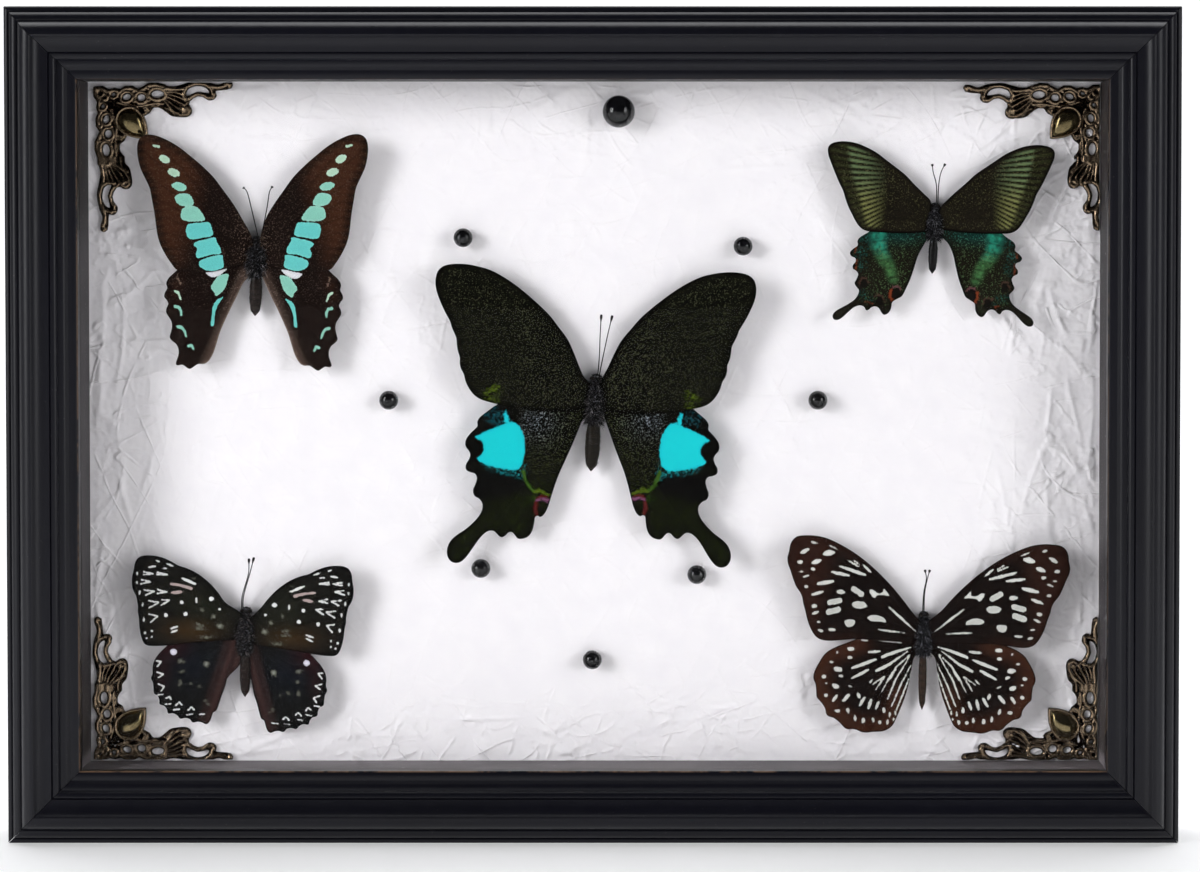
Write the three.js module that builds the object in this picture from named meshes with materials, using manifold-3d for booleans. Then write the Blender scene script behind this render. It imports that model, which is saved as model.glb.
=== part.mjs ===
// A shadow-box frame with five set butterflies, eight black beads and four bronze filigree corners on white paper.
// Millimetres, +Z up. The frame stands on its bottom rail and faces -Y. Its origin is on the ground, under its middle.
import * as THREE from 'three';
import { mergeVertices } from 'three/addons/utils/BufferGeometryUtils.js';
import Module from 'manifold-3d';

const wasm = await Module();
wasm.setup();

// ---- Driving dimensions -------------------------------------------------------------------------------------------

const FRAME_WIDTH = 356;
const FRAME_HEIGHT = 254;
const FRAME_DEPTH = 36;
const RAIL_WIDTH = 22.2; // outer edge to sight edge
const REBATE_WIDTH = 6; // how far the lip reaches in over the glass
const CREST_RISE = 7.2; // moulding crest above its outer edge
const LIP_THICKNESS = 3;
const MITRE_GAP = 0.1; // each rail stops this far short of the 45 degree mitre line
const FIT = 0.2; // clearance between parts stacked in the rebate

const GLASS_THICKNESS = 2;
const SPACER_THICKNESS = 5.5;
const PAPER_THICKNESS = 0.4;
const BOARD_THICKNESS = 3;
const PANEL_THICKNESS = 2.5;
const SPECIMEN_ROOM = 15.9; // glass to paper

const REST_GAP = 0.3; // under what is glued on the paper
const WING_THICKNESS = 0.3;
const WING_STEP = 0.6; // forewing above hindwing
const WING_RISE = 4; // degrees the wings lift from the body outwards
const BODY_FLATNESS = 0.95;

// ---- Heights, measured towards the viewer from the middle of the frame's depth -------------------------------------

const FRONT = FRAME_DEPTH / 2;
const BACK = -FRAME_DEPTH / 2;
const EDGE_LEVEL = FRONT - CREST_RISE; // front arris of the flat outer side
const LIP_RISE = 1;
const LIP_BACK = EDGE_LEVEL + LIP_RISE - LIP_THICKNESS;
const GLASS_BACK = LIP_BACK - FIT - GLASS_THICKNESS;
const PAPER_FRONT = GLASS_BACK - FIT - SPECIMEN_ROOM;
const BOARD_FRONT = PAPER_FRONT - PAPER_THICKNESS - FIT;
const PANEL_FRONT = BOARD_FRONT - BOARD_THICKNESS - FIT;
const PANEL_BACK = PANEL_FRONT - PANEL_THICKNESS;

const SIGHT_X = FRAME_WIDTH / 2 - RAIL_WIDTH;
const SIGHT_Y = FRAME_HEIGHT / 2 - RAIL_WIDTH;
const REBATE_X = SIGHT_X + REBATE_WIDTH;
const REBATE_Y = SIGHT_Y + REBATE_WIDTH;

// ---- Materials ----------------------------------------------------------------------------------------------------

const finish = (color, roughness, metalness = 0) => new THREE.MeshStandardMaterial({ color, roughness, metalness });
const BLACK_PAINT = finish(0x26262b, 0.45);
const SPACER_BLACK = finish(0x3a3638, 0.7);
const CLEAR_GLASS = new THREE.MeshStandardMaterial({ color: 0xf4f8f8, roughness: 0.05, transparent: true, opacity: 0.15 });
const WHITE_PAPER = finish(0xf1eff5, 0.9);
const FOAM_WHITE = finish(0xe6e6e6, 0.8);
const BROWN_BOARD = finish(0x6b4e36, 0.85);
const STEEL = finish(0xa8aab0, 0.35, 1);
const BRONZE = finish(0x4c3f2a, 0.4, 0.9);
const BLACK_BEAD = finish(0x0b0b0d, 0.08);

// ---- Small helpers ------------------------------------------------------------------------------------------------

const radians = THREE.MathUtils.degToRad;
const vector2 = ([x, y]) => new THREE.Vector2(x, y);

function mesh(name, geometry, material) {
  const made = new THREE.Mesh(geometry, material);
  made.name = name;
  return made;
}

/** A box given by its lowest and highest corners. */
function slab(name, low, high, material) {
  const size = high.map((value, i) => value - low[i]);
  const made = mesh(name, new THREE.BoxGeometry(...size), material);
  made.position.set(...high.map((value, i) => (value + low[i]) / 2));
  return made;
}

/** The solid that a closed geometry bounds. */
function solid(geometry) {
  const bare = geometry.clone();
  bare.deleteAttribute('normal');
  bare.deleteAttribute('uv');
  const merged = mergeVertices(bare, 1e-4);
  return new wasm.Manifold(new wasm.Mesh({
    numProp: 3,
    vertProperties: new Float32Array(merged.attributes.position.array),
    triVerts: new Uint32Array(merged.index.array),
  }));
}

/** The geometry of a solid. */
function surface(body) {
  const { vertProperties, triVerts } = body.getMesh();
  const geometry = new THREE.BufferGeometry();
  geometry.setAttribute('position', new THREE.BufferAttribute(vertProperties, 3));
  geometry.setIndex(new THREE.BufferAttribute(triVerts, 1));
  return geometry;
}

/** A closed body of revolution about +Y from [y, radius] stations, its two ends drawn in to the axis. */
function spindle(stations, sides) {
  const profile = stations.map(([y, radius]) => new THREE.Vector2(radius, y));
  profile[0].x = 0;
  profile[profile.length - 1].x = 0;
  if (profile[0].y > profile[profile.length - 1].y) profile.reverse();
  return new THREE.LatheGeometry(profile, sides);
}

/** A round rod along a smooth line through points. */
function rod(points, radius, sides, steps) {
  const path = new THREE.CatmullRomCurve3(points.map((point) => new THREE.Vector3(...point)));
  const section = new THREE.Shape();
  for (let i = 0; i < sides; i += 1) {
    const angle = (2 * Math.PI * i) / sides;
    const corner = [radius * Math.cos(angle), radius * Math.sin(angle)];
    if (i === 0) section.moveTo(...corner);
    else section.lineTo(...corner);
  }
  return new THREE.ExtrudeGeometry(section, { steps, extrudePath: path });
}

// ---- Frame moulding -----------------------------------------------------------------------------------------------

/** Section of the moulding: distance in from the outer edge, and height above the outer arris. */
function mouldingSection() {
  const section = new THREE.Shape();
  section.moveTo(0, BACK - EDGE_LEVEL);
  section.lineTo(0, 0);
  section.quadraticCurveTo(0.1, 0.9, 1.2, 1.0); // rounded outer bead
  section.lineTo(1.7, 0.8);
  section.lineTo(2.0, 2.1); // first fillet
  section.quadraticCurveTo(2.9, 3.4, 4.2, 3.3);
  section.lineTo(4.6, 3.1);
  section.lineTo(4.9, 4.2); // second fillet
  section.bezierCurveTo(5.6, 6.4, 7.2, 7.2, 8.8, CREST_RISE); // crest
  section.lineTo(9.2, 6.9);
  section.quadraticCurveTo(10.4, 5.4, 12.6, 5.0); // scoop behind the crest
  section.lineTo(14.0, 4.8);
  section.lineTo(14.2, 4.3); // quirk
  section.lineTo(14.5, 4.6);
  section.quadraticCurveTo(15.7, 4.6, 16.2, 3.9); // inner bead
  section.lineTo(16.6, 3.2);
  section.quadraticCurveTo(18.0, 3.2, 18.6, 2.6);
  section.lineTo(19.4, 1.9);
  section.quadraticCurveTo(21.0, 2.0, 21.9, 1.6);
  section.quadraticCurveTo(22.2, 1.4, RAIL_WIDTH, LIP_RISE); // sight edge
  section.lineTo(RAIL_WIDTH, LIP_RISE - LIP_THICKNESS);
  section.lineTo(RAIL_WIDTH - REBATE_WIDTH, LIP_RISE - LIP_THICKNESS);
  section.lineTo(RAIL_WIDTH - REBATE_WIDTH, BACK - EDGE_LEVEL);
  return section;
}

/** One mitred rail, outer edge up, for a frame half as wide and half as high as given, turned into its place. */
function rail(name, halfLength, halfReach, turn) {
  const geometry = new THREE.ExtrudeGeometry(mouldingSection(), { depth: 1, bevelEnabled: false, curveSegments: 4 });
  const position = geometry.attributes.position;
  for (let i = 0; i < position.count; i += 1) {
    const inward = position.getX(i);
    const height = position.getY(i);
    const end = 1 - 2 * position.getZ(i);
    position.setXYZ(i, end * (halfLength - inward - MITRE_GAP), halfReach - inward, EDGE_LEVEL + height);
  }
  geometry.rotateZ(radians(turn));
  return mesh(name, geometry, BLACK_PAINT);
}

function frameRails() {
  const halfWidth = FRAME_WIDTH / 2;
  const halfHeight = FRAME_HEIGHT / 2;
  return [
    rail('rail_top', halfWidth, halfHeight, 0),
    rail('rail_left', halfHeight, halfWidth, 90),
    rail('rail_bottom', halfWidth, halfHeight, 180),
    rail('rail_right', halfHeight, halfWidth, 270),
  ];
}

// ---- What is stacked in the rebate --------------------------------------------------------------------------------

function spacers() {
  const front = GLASS_BACK - FIT;
  const back = PAPER_FRONT + FIT;
  const outX = REBATE_X - FIT;
  const outY = REBATE_Y - FIT;
  const inX = outX - SPACER_THICKNESS;
  const inY = outY - SPACER_THICKNESS;
  return [
    slab('spacer_top', [-outX, inY, back], [outX, outY, front], SPACER_BLACK),
    slab('spacer_bottom', [-outX, -outY, back], [outX, -inY, front], SPACER_BLACK),
    slab('spacer_left', [-outX, -inY + FIT, back], [-inX, inY - FIT, front], SPACER_BLACK),
    slab('spacer_right', [inX, -inY + FIT, back], [outX, inY - FIT, front], SPACER_BLACK),
  ];
}

/** A flat sheet that fills the rebate, its front face at a height. */
function sheet(name, front, thickness, material) {
  const x = REBATE_X - FIT;
  const y = REBATE_Y - FIT;
  return slab(name, [-x, -y, front - thickness], [x, y, front], material);
}

function rebateStack() {
  return [
    sheet('glass', LIP_BACK - FIT, GLASS_THICKNESS, CLEAR_GLASS),
    ...spacers(),
    sheet('backing_paper', PAPER_FRONT, PAPER_THICKNESS, WHITE_PAPER),
    sheet('mount_board', BOARD_FRONT, BOARD_THICKNESS, FOAM_WHITE),
    sheet('back_panel', PANEL_FRONT, PANEL_THICKNESS, BROWN_BOARD),
  ];
}

// ---- Fixings on the back ------------------------------------------------------------------------------------------

const POINT_LENGTH = 13;
const POINT_WIDTH = 7;
const POINT_THICKNESS = 0.6;
const POINT_SPREAD_X = 88;

/** A flat steel tab that holds the panel in, pointed towards the middle of the back. */
function framersPoint(name, x, y, turn) {
  const outline = new THREE.Shape([[0, -POINT_WIDTH / 2], [0, POINT_WIDTH / 2], [POINT_LENGTH * 0.7, POINT_WIDTH / 2],
    [POINT_LENGTH, 0], [POINT_LENGTH * 0.7, -POINT_WIDTH / 2]].map(vector2));
  const geometry = new THREE.ExtrudeGeometry(outline, { depth: POINT_THICKNESS, bevelEnabled: false });
  geometry.translate(0, 0, PANEL_BACK - FIT - POINT_THICKNESS);
  const made = mesh(name, geometry, STEEL);
  made.position.set(x, y, 0);
  made.rotation.z = radians(turn);
  return made;
}

function framersPoints() {
  const x = REBATE_X - FIT;
  const y = REBATE_Y - FIT;
  return [
    framersPoint('point_top_left', -POINT_SPREAD_X, y, -90),
    framersPoint('point_top_right', POINT_SPREAD_X, y, -90),
    framersPoint('point_bottom_left', -POINT_SPREAD_X, -y, 90),
    framersPoint('point_bottom_right', POINT_SPREAD_X, -y, 90),
    framersPoint('point_left', -x, 0, 0),
    framersPoint('point_right', x, 0, 180),
  ];
}

const HANGER_LENGTH = 46;
const HANGER_HEIGHT = 8;
const HANGER_THICKNESS = 0.8;
const HANGER_TOOTH = 1.6;
const HANGER_TEETH = 9;
const HANGER_NAIL_X = 19.5;
const NAIL_RADIUS = 1.6;
const NAIL_HEAD = 0.6;
const HANGER_STAND = 2 * FIT + HANGER_THICKNESS + NAIL_HEAD; // how far the hanger stands out behind the frame

/** A toothed hanging strip across the middle of the top rail's back. */
function sawtoothHanger() {
  const y = FRAME_HEIGHT / 2 - 8;
  const half = HANGER_LENGTH / 2;
  const toothed = half - 9;
  const pitch = (2 * toothed) / HANGER_TEETH;
  const points = [[-half, HANGER_HEIGHT / 2], [-half, -HANGER_HEIGHT / 2], [-toothed, -HANGER_HEIGHT / 2]];
  for (let i = 0; i < HANGER_TEETH; i += 1) {
    points.push([-toothed + (i + 0.5) * pitch, -HANGER_HEIGHT / 2 + HANGER_TOOTH]);
    points.push([-toothed + (i + 1) * pitch, -HANGER_HEIGHT / 2]);
  }
  points.push([half, -HANGER_HEIGHT / 2], [half, HANGER_HEIGHT / 2]);
  const geometry = new THREE.ExtrudeGeometry(new THREE.Shape(points.map(vector2)),
    { depth: HANGER_THICKNESS, bevelEnabled: false });
  const strip = mesh('hanger_strip', geometry, STEEL);
  strip.position.set(0, y, BACK - FIT - HANGER_THICKNESS);
  const nails = [['hanger_nail_left', 1], ['hanger_nail_right', -1]].map(([name, side]) => {
    const head = mesh(name, new THREE.CylinderGeometry(NAIL_RADIUS, NAIL_RADIUS * 0.7, NAIL_HEAD, 6), STEEL);
    head.rotation.x = Math.PI / 2;
    head.position.set(side * HANGER_NAIL_X, y + 0.8, BACK - HANGER_STAND + NAIL_HEAD / 2);
    return head;
  });
  return [strip, ...nails];
}

// ---- Beads --------------------------------------------------------------------------------------------------------

const BEAD_RADIUS = 3;
const LARGE_BEAD_RADIUS = 5.1;
const BEAD_PLACES = {
  bead_top: [7.6, 95.9, LARGE_BEAD_RADIUS],
  bead_upper_left: [-40.4, 57.1, BEAD_RADIUS],
  bead_upper_right: [45.8, 54.5, BEAD_RADIUS],
  bead_left: [-63.4, 7.0, BEAD_RADIUS],
  bead_right: [68.9, 7.0, BEAD_RADIUS],
  bead_lower_left: [-35.1, -45.0, BEAD_RADIUS],
  bead_lower_right: [31.6, -46.9, BEAD_RADIUS],
  bead_bottom: [-0.7, -73.3, BEAD_RADIUS],
};

/** A round bead with a small flat where it is glued. */
function bead(name, [x, y, radius]) {
  const flat = 0.85; // height of the centre over the flat, in radii
  const rings = 5;
  const lowest = -Math.asin(flat);
  const stations = [[-flat * radius, 0]];
  for (let i = 0; i <= rings; i += 1) {
    const angle = lowest + (i / rings) * (Math.PI / 2 - lowest);
    stations.push([radius * Math.sin(angle), radius * Math.cos(angle)]);
  }
  const made = mesh(name, spindle(stations, 9), BLACK_BEAD);
  made.rotation.x = Math.PI / 2;
  made.position.set(x, y, PAPER_FRONT + REST_GAP + flat * radius);
  return made;
}

// ---- Corner ornaments ---------------------------------------------------------------------------------------------

const ORNAMENT_THICKNESS = 1.6;
const DROP_HEIGHT = 3.2; // teardrop boss above the filigree's back
const DROP_CENTRE = 11;
const DROP_TIP = 16.6;
const DROP_RADIUS = 4.4;

// One arm of the filigree, [along, in from the edge]: its outer edge from the corner to the tail, then back inside.
const ARM_OUTER = [[1, 0.6], [3.2, 0.4], [6.8, 1.7], [9.4, 0.7], [12.2, 0.7], [14.2, 1.8], [16.6, 0.5],
  [19.6, 0.3], [24.6, 1.3], [32, 0.2], [35.8, 0.4], [38.8, 1.2], [41.4, 0.5]];
const ARM_INNER = [[43.2, 1.3], [42, 2.7], [37.9, 3.3], [38.2, 4.7], [36.6, 5.9], [34.4, 4.9], [31, 4.7],
  [29.6, 6.6], [30.3, 9.4], [28.8, 10.7], [25, 10.5], [22.4, 9], [19.3, 7.5], [16.2, 9.7]];
// The upright arm is the same but longer past its openings.
const UPRIGHT_EXTRA = 1.8;
const UPRIGHT_FROM = 22.1;
// Openings of one arm: [along, in, half length, half width].
const ARM_HOLES = [[10.4, 4, 1.4, 1.2], [14.9, 4.4, 1.4, 1.3], [19.8, 3.5, 2.1, 1.4]];
const HOLE_CORNERS = 5;
// The half-moon opening under the tail.
const ARM_MOON = [[28.4, 4.6], [29.5, 2.2], [32, 1.4], [34.8, 2.2], [35.9, 3.9], [34.1, 3.4], [31.8, 3.3]];

/** The matching point of the upright arm. */
function upright([along, inward]) {
  return [inward, along > UPRIGHT_FROM ? along + UPRIGHT_EXTRA : along];
}

function ornamentHoles() {
  const holes = [];
  for (const [along, inward, length, width] of ARM_HOLES) {
    const ring = [];
    for (let i = 0; i < HOLE_CORNERS; i += 1) {
      const angle = (i * 2 * Math.PI) / HOLE_CORNERS;
      ring.push([along + length * Math.cos(angle), inward + width * Math.sin(angle)]);
    }
    holes.push(ring);
  }
  holes.push(ARM_MOON);
  return [...holes, ...holes.map((ring) => ring.map(upright))];
}

/** The pierced plate of a corner, [0, 0] at its outer corner, with the teardrop boss fused on. */
function ornamentSolid() {
  const arm = [...ARM_OUTER, ...ARM_INNER];
  const outline = new THREE.Shape([...arm, [DROP_CENTRE, DROP_CENTRE], ...arm.map(upright).reverse()].map(vector2));
  outline.holes = ornamentHoles().map((ring) => new THREE.Path(ring.map(vector2)));
  const plate = new THREE.ExtrudeGeometry(outline, { depth: ORNAMENT_THICKNESS, bevelEnabled: false });
  const reach = (DROP_TIP - DROP_CENTRE) * Math.SQRT2;
  const profile = [[-DROP_RADIUS, 0], [-3.3, 2.9], [-1, 4.3], [1.4, 4.2], [4.2, 3], [6.6, 1.3], [reach, 0]];
  const boss = spindle(profile, 9);
  boss.scale(1, 1, DROP_HEIGHT / DROP_RADIUS);
  boss.rotateZ(-Math.PI / 4);
  boss.translate(DROP_CENTRE, DROP_CENTRE, 0);
  const below = new THREE.BoxGeometry(40, 40, 8).translate(10, 10, -4);
  return solid(plate).add(solid(boss).subtract(solid(below)));
}

/**
 * A corner ornament: where its outer corner lies, and a small skew in degrees. It is mirrored to suit its corner, and
 * what would run into the spacers is filed off.
 */
function ornament(name, x, y, skew) {
  const limitX = REBATE_X - FIT - SPACER_THICKNESS - REST_GAP;
  const limitY = REBATE_Y - FIT - SPACER_THICKNESS - REST_GAP;
  const facing = ornamentSolid().scale([Math.sign(-x), Math.sign(-y), 1]);
  const placed = facing.rotate([0, 0, skew]).translate([x, y, PAPER_FRONT + REST_GAP]);
  const filed = placed.trimByPlane([Math.sign(-x), 0, 0], -limitX).trimByPlane([0, Math.sign(-y), 0], -limitY);
  return mesh(name, surface(filed), BRONZE);
}

// ---- Butterflies --------------------------------------------------------------------------------------------------
// Outlines are [outwards, headwards] from the middle of the thorax and serve for both sides. "set" says how a wing was
// set differently from its outline: degrees swept headwards, then millimetres outwards and headwards.

const PARIS = {
  place: [0.3, 7.1],
  lean: 1.5,
  set: { right: { fore: [-0.6, -1.6, 0], hind: [-0.7, -0.8, 1.2] } },
  body: { head: [6.4, 1.7], thorax: [5.4, -7, 2.9], abdomen: [-22.3, 2.3], lean: 2 },
  antennae: [[[0.5, 6.8], [0.9, 13], [1.0, 20], [1.2, 26.3]], [[0.9, 6.8], [2, 13], [3.3, 20], [4.6, 26.1]]],
  color: 0x16170f,
  fore: [[2.2, 4.6], [3.6, 7], [5.1, 10], [7, 14.5], [9, 18.5], [12, 22.4], [14.5, 25.5], [17.5, 28.4], [21, 31.4],
    [25, 34.5], [29, 37.1], [33, 39.1], [37, 40.2], [41, 40.8], [45, 40.7], [47.6, 40], [49.1, 38.7], [49.8, 36.8],
    [49.9, 34.4], [49.4, 32], [48.4, 29.4], [47.2, 26.8], [46, 24.6], [45.1, 23], [44.6, 21.3], [43.8, 19.6],
    [43.1, 18], [42.9, 15.8], [42.5, 13.8], [41.9, 12.2], [41.9, 10.2], [41.4, 8.5], [40.5, 6.9], [40.1, 5.1],
    [39.3, 3.4], [38.2, 1.7], [36.8, 0.3], [35, -0.7], [32.6, -1.4], [30, -2], [24, -3.2], [14, -3.9], [6, -3.4],
    [2.2, -2]],
  hind: [[2.2, -1], [10, 0.6], [20, 0.4], [27, -0.8], [30.6, -2.4], [33, -4.2], [35.4, -6.2], [36.1, -7.6],
    [36, -8.9], [37, -10], [38.5, -11.6], [39.5, -13.3], [39.5, -15.2], [38.5, -16.5], [38, -17.8], [38.5, -19.4],
    [39.3, -20.8], [39.2, -22.3], [38, -23.1], [36.5, -23.5], [35.8, -24.9], [36.2, -26.7], [36.9, -28.6],
    [36.4, -30.4], [35, -31.2], [34, -32.6], [33.9, -34.3], [34.8, -36.4], [36.6, -38.6], [39, -40.8], [41.6, -42.6],
    [43.4, -44.4], [44.4, -46.8], [44.3, -49], [43.3, -50.6], [41.7, -51.2], [40.1, -50.8], [38.6, -49.4],
    [37, -47.2], [35.2, -44.4], [33.6, -42.4], [31.8, -41.1], [30.2, -41.1], [29, -42.2], [27.9, -43], [26.7, -42.5],
    [25.6, -41.4], [24.5, -41.4], [23.6, -42.4], [22.7, -43.3], [20.8, -43.2], [19.2, -42.2], [18.2, -40.2],
    [17.8, -38], [17.6, -36.6], [16.9, -36.1], [16.1, -36.5], [15, -35.8], [13.9, -33.8], [13.1, -31.2], [12, -27.4],
    [10.6, -23.2], [8.9, -19.2], [7.2, -15.2], [5.4, -10.6], [3.8, -6.6], [2.2, -3.4]],
};

const BLUEBOTTLE = {
  place: [-103.8, 51.6],
  lean: 0,
  set: { right: { fore: [0.2, -1.3, 0], hind: [-0.5, -1.3, -0.4] } },
  body: { head: [4.6, 1.5], thorax: [3.8, -6, 3.2], abdomen: [-18.8, 1.9], lean: 2 },
  antennae: [[[0.6, 4.8], [-1.6, 14.5], [-2.8, 19.3], [-4, 20.9]], [[1.2, 4.8], [3.2, 14.5], [4, 19.3], [5, 21.2]]],
  color: 0x2b1c14,
  fore: [[2, 5.2], [4.4, 11.4], [7, 15.8], [10, 20], [13, 24], [16.5, 27.5], [20, 30.5], [24, 33.6], [28, 35.8],
    [31.2, 36.9], [33.8, 36.9], [35.4, 35.8], [36.1, 33.6], [36, 30.4], [35.2, 26.8], [33.8, 23.7], [32.4, 20.6],
    [31.7, 17], [31, 13], [30.5, 9], [30, 5.8], [29.2, 3.2], [27.8, 0.4], [26.2, -2.1], [24.1, -4.5], [19, -5],
    [14, -5.1], [9.6, -4.2], [5.6, -3], [2.2, -2]],
  hind: [[2.2, -1.8], [8, -1], [16, -1], [22, -2.6], [25, -5.2], [26.9, -7], [27.6, -8.6], [27.3, -10], [28, -11.4],
    [28.2, -12.7], [27.4, -13.8], [27, -14.9], [27.5, -16.1], [27.7, -17.3], [27, -18.7], [26.1, -20.2], [25.9, -22],
    [26.3, -23.8], [26.6, -25.2], [25.8, -26.3], [24.7, -27.2], [24, -28.6], [23.9, -30.2], [24.4, -31.9],
    [24.8, -33.3], [24.2, -33.8], [22.8, -33.6], [21.7, -34.3], [20.6, -34.9], [19.4, -34.3], [18, -33.4],
    [16.2, -33.4], [14.8, -32.5], [13.4, -30.2], [12.3, -27], [11.4, -24], [9.9, -20.4], [8.2, -16.8], [6.2, -12.8],
    [4.4, -9], [2.2, -4.4]],
};

const PEACOCK = {
  place: [104.7, 61.8],
  lean: 1.3,
  set: { left: { fore: [0.8, -2.3, -0.6], hind: [2.6, -1.6, -0.6] } },
  body: { head: [4.8, 1.3], thorax: [4, -5, 2.5], abdomen: [-16, 1.4], lean: 1 },
  antennae: [[[0.5, 5], [0.3, 11.3], [-0.8, 15.3], [-1.2, 17.8]], [[0.9, 5], [1, 11.3], [1.6, 15.3], [2.8, 18]]],
  color: 0x1d1e14,
  fore: [[1.6, 4], [3.8, 7], [6, 9.2], [9, 11.9], [12, 14.8], [15, 17], [18, 19.1], [21, 21.2], [24, 22.7], [27, 23.8],
    [30, 24.3], [32.8, 24.2], [35.1, 23.5], [36.1, 22.3], [36, 20.2], [35, 17.6], [33.7, 14.6], [32.3, 11.6],
    [31, 9.2], [30.1, 6.6], [29.1, 4.2], [28, 2.2], [27, 0.4], [25.9, -1.2], [24.5, -2.4], [22.6, -3], [20, -3.1],
    [15, -3.2], [9, -3], [1.8, -2]],
  hind: [[1.8, -1], [8, -0.5], [15, -1], [19.5, -2.2], [22, -4], [24.6, -5.9], [25, -7], [24.8, -8.1], [26.2, -9.3],
    [27.1, -10.6], [26.5, -11.6], [25.3, -12.1], [25.1, -13.1], [25.9, -14.3], [25.8, -15.4], [24.7, -16],
    [24.1, -17], [24.5, -18.5], [25, -19.8], [24.3, -20.9], [23.5, -21.8], [23.7, -23.2], [24.6, -24.7], [26.4, -26.2],
    [28.6, -27.6], [30.4, -28.9], [31.1, -30.2], [30.6, -31.3], [29.4, -31.4], [28, -30.5], [26.2, -28.6],
    [24.4, -27], [22.7, -26.5], [21.5, -26.9], [20.8, -27.9], [20, -27.6], [19.2, -26.8], [18, -26.5], [16.9, -27],
    [16.1, -28.2], [15.2, -28.9], [14, -28.3], [13.2, -26.9], [12.9, -24.8], [11.6, -23.8], [10.1, -22.8],
    [9, -20.4], [7.8, -17.2], [6.8, -13.4], [5.9, -9.8], [4.4, -6.6], [1.8, -3.2]],
};

const CONSTABLE = {
  place: [-107.7, -66.5],
  lean: 1,
  set: { left: { fore: [1.8, 1.9, 1.3], hind: [1.9, 2.6, 2] } },
  body: { head: [8.2, 1.5], thorax: [7.2, -4.5, 2.9], abdomen: [-18.5, 1.7], lean: 0 },
  antennae: [[[-1.4, 8.6], [-1.2, 13], [0.6, 19.7], [0.8, 24.6]], [[-1.0, 8.6], [-0.8, 13], [1, 19.7], [2.3, 25]]],
  color: 0x15130f,
  fore: [[2.2, 6], [4.8, 9.6], [6.8, 12.2], [9, 14.6], [11.5, 16.7], [14, 18.3], [17, 19.6], [19.5, 20.3], [22, 21.6],
    [25, 22.7], [28, 23.1], [30.5, 22.9], [32, 22.1], [32.8, 20.6], [33.1, 18.4], [33.5, 16.2], [33.4, 13.6],
    [32.8, 11.8], [32, 10.4], [31.6, 8.7], [31.3, 7.2], [31.3, 5.6], [30.9, 3.8], [30.7, 1.8], [30.4, -0.2],
    [29.8, -2.4], [29, -4], [27.9, -4.7], [25.4, -4.8], [20.4, -4.3], [15, -3.4], [8, -2.6], [2.2, -1.6]],
  hind: [[2.2, -0.8], [8, 0.2], [15, -0.8], [19, -3.2], [22.2, -6.3], [24, -8.4], [25.1, -10.5], [25.4, -12.4],
    [25.3, -14.2], [25.7, -15.6], [25.1, -16.9], [24.8, -18.6], [24.6, -20.2], [23.4, -21], [22.9, -22.2],
    [22.7, -23.5], [21.2, -24.1], [20.4, -25.1], [20, -26.3], [18.5, -26.2], [17.2, -26.8], [16.2, -27.8],
    [14.8, -27.5], [13.3, -27.8], [12.3, -28.8], [10.8, -28.5], [9.5, -28.7], [8.2, -29.2], [7.2, -28.4],
    [6.5, -26.4], [6.2, -25.4], [5.3, -24.9], [4.6, -22.9], [3.8, -20], [2.9, -17.4], [2.3, -14.6], [2.2, -10]],
};

const TIGER = {
  place: [101.6, -66.5],
  lean: 1,
  set: { right: { fore: [-2.6, 0.7, 0.2], hind: [0, 0.7, 0.3] } },
  body: { head: [7, 1.3], thorax: [6.2, -5, 2.6], abdomen: [-22.6, 1.25], lean: 0 },
  antennae: [[[-0.4, 7.2], [-0.2, 13.8], [0.5, 18.2], [0, 21.1]], [[0, 7.2], [0.1, 13.8], [0.8, 18.2], [1.5, 21.1]]],
  color: 0x1f120e,
  fore: [[2, 5], [4, 8.4], [7, 12.2], [10, 15.7], [13, 18.8], [16, 21.6], [20, 24.8], [24, 27.4], [28, 29.5],
    [31, 30.7], [34, 31.3], [37, 31.4], [39.6, 31.1], [41.1, 30], [41.9, 28.4], [42.2, 26.5], [42.7, 24.5],
    [42.5, 22.6], [41.8, 20.8], [41.2, 19], [40.6, 17.3], [39.8, 15.5], [38.6, 13.8], [37.9, 12.3], [37.6, 10.4],
    [36.9, 8.2], [36.5, 6.4], [35.8, 4.2], [34.9, 2.2], [33.6, 0.3], [32, -0.7], [29.6, -1.1], [26, -0.9], [21, -0.5],
    [16, -0.8], [9, -1.2], [2.2, -1.8]],
  hind: [[2.2, -0.8], [8, 0.2], [14, 0.6], [20, -0.3], [24, -1.8], [26.6, -2.8], [29, -4], [30.7, -5.4], [32, -7.4],
    [33.2, -9.6], [33.9, -11.6], [33.9, -13.1], [33.2, -14.8], [33, -16.8], [32.8, -18.7], [31.9, -19.7],
    [30.9, -20.9], [30.1, -22.3], [29.8, -23.8], [28.9, -24.6], [27.5, -25], [26.2, -25.9], [25, -27], [24.1, -28],
    [22.9, -28.5], [21.6, -28.4], [20.2, -28.7], [18.8, -29.3], [17.2, -29.5], [15.6, -29.3], [13.8, -29.2],
    [12, -29], [10.4, -28.3], [9.1, -27.2], [7.9, -24.8], [6.6, -21.6], [5.3, -18], [4.3, -14.2], [3.6, -10],
    [2.9, -6.4], [2.2, -3.6]],
};

const SPECIES = { paris: PARIS, bluebottle: BLUEBOTTLE, peacock: PEACOCK, constable: CONSTABLE, tiger: TIGER };
const HINGE_RISE = 0.3; // wing roots above the middle of the body, in thorax radii
const ROOT_REACH = 2.3; // outline points nearer than this run on to ROOT_END, before the body is cut out of the wing
const ROOT_END = 1.2;

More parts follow.
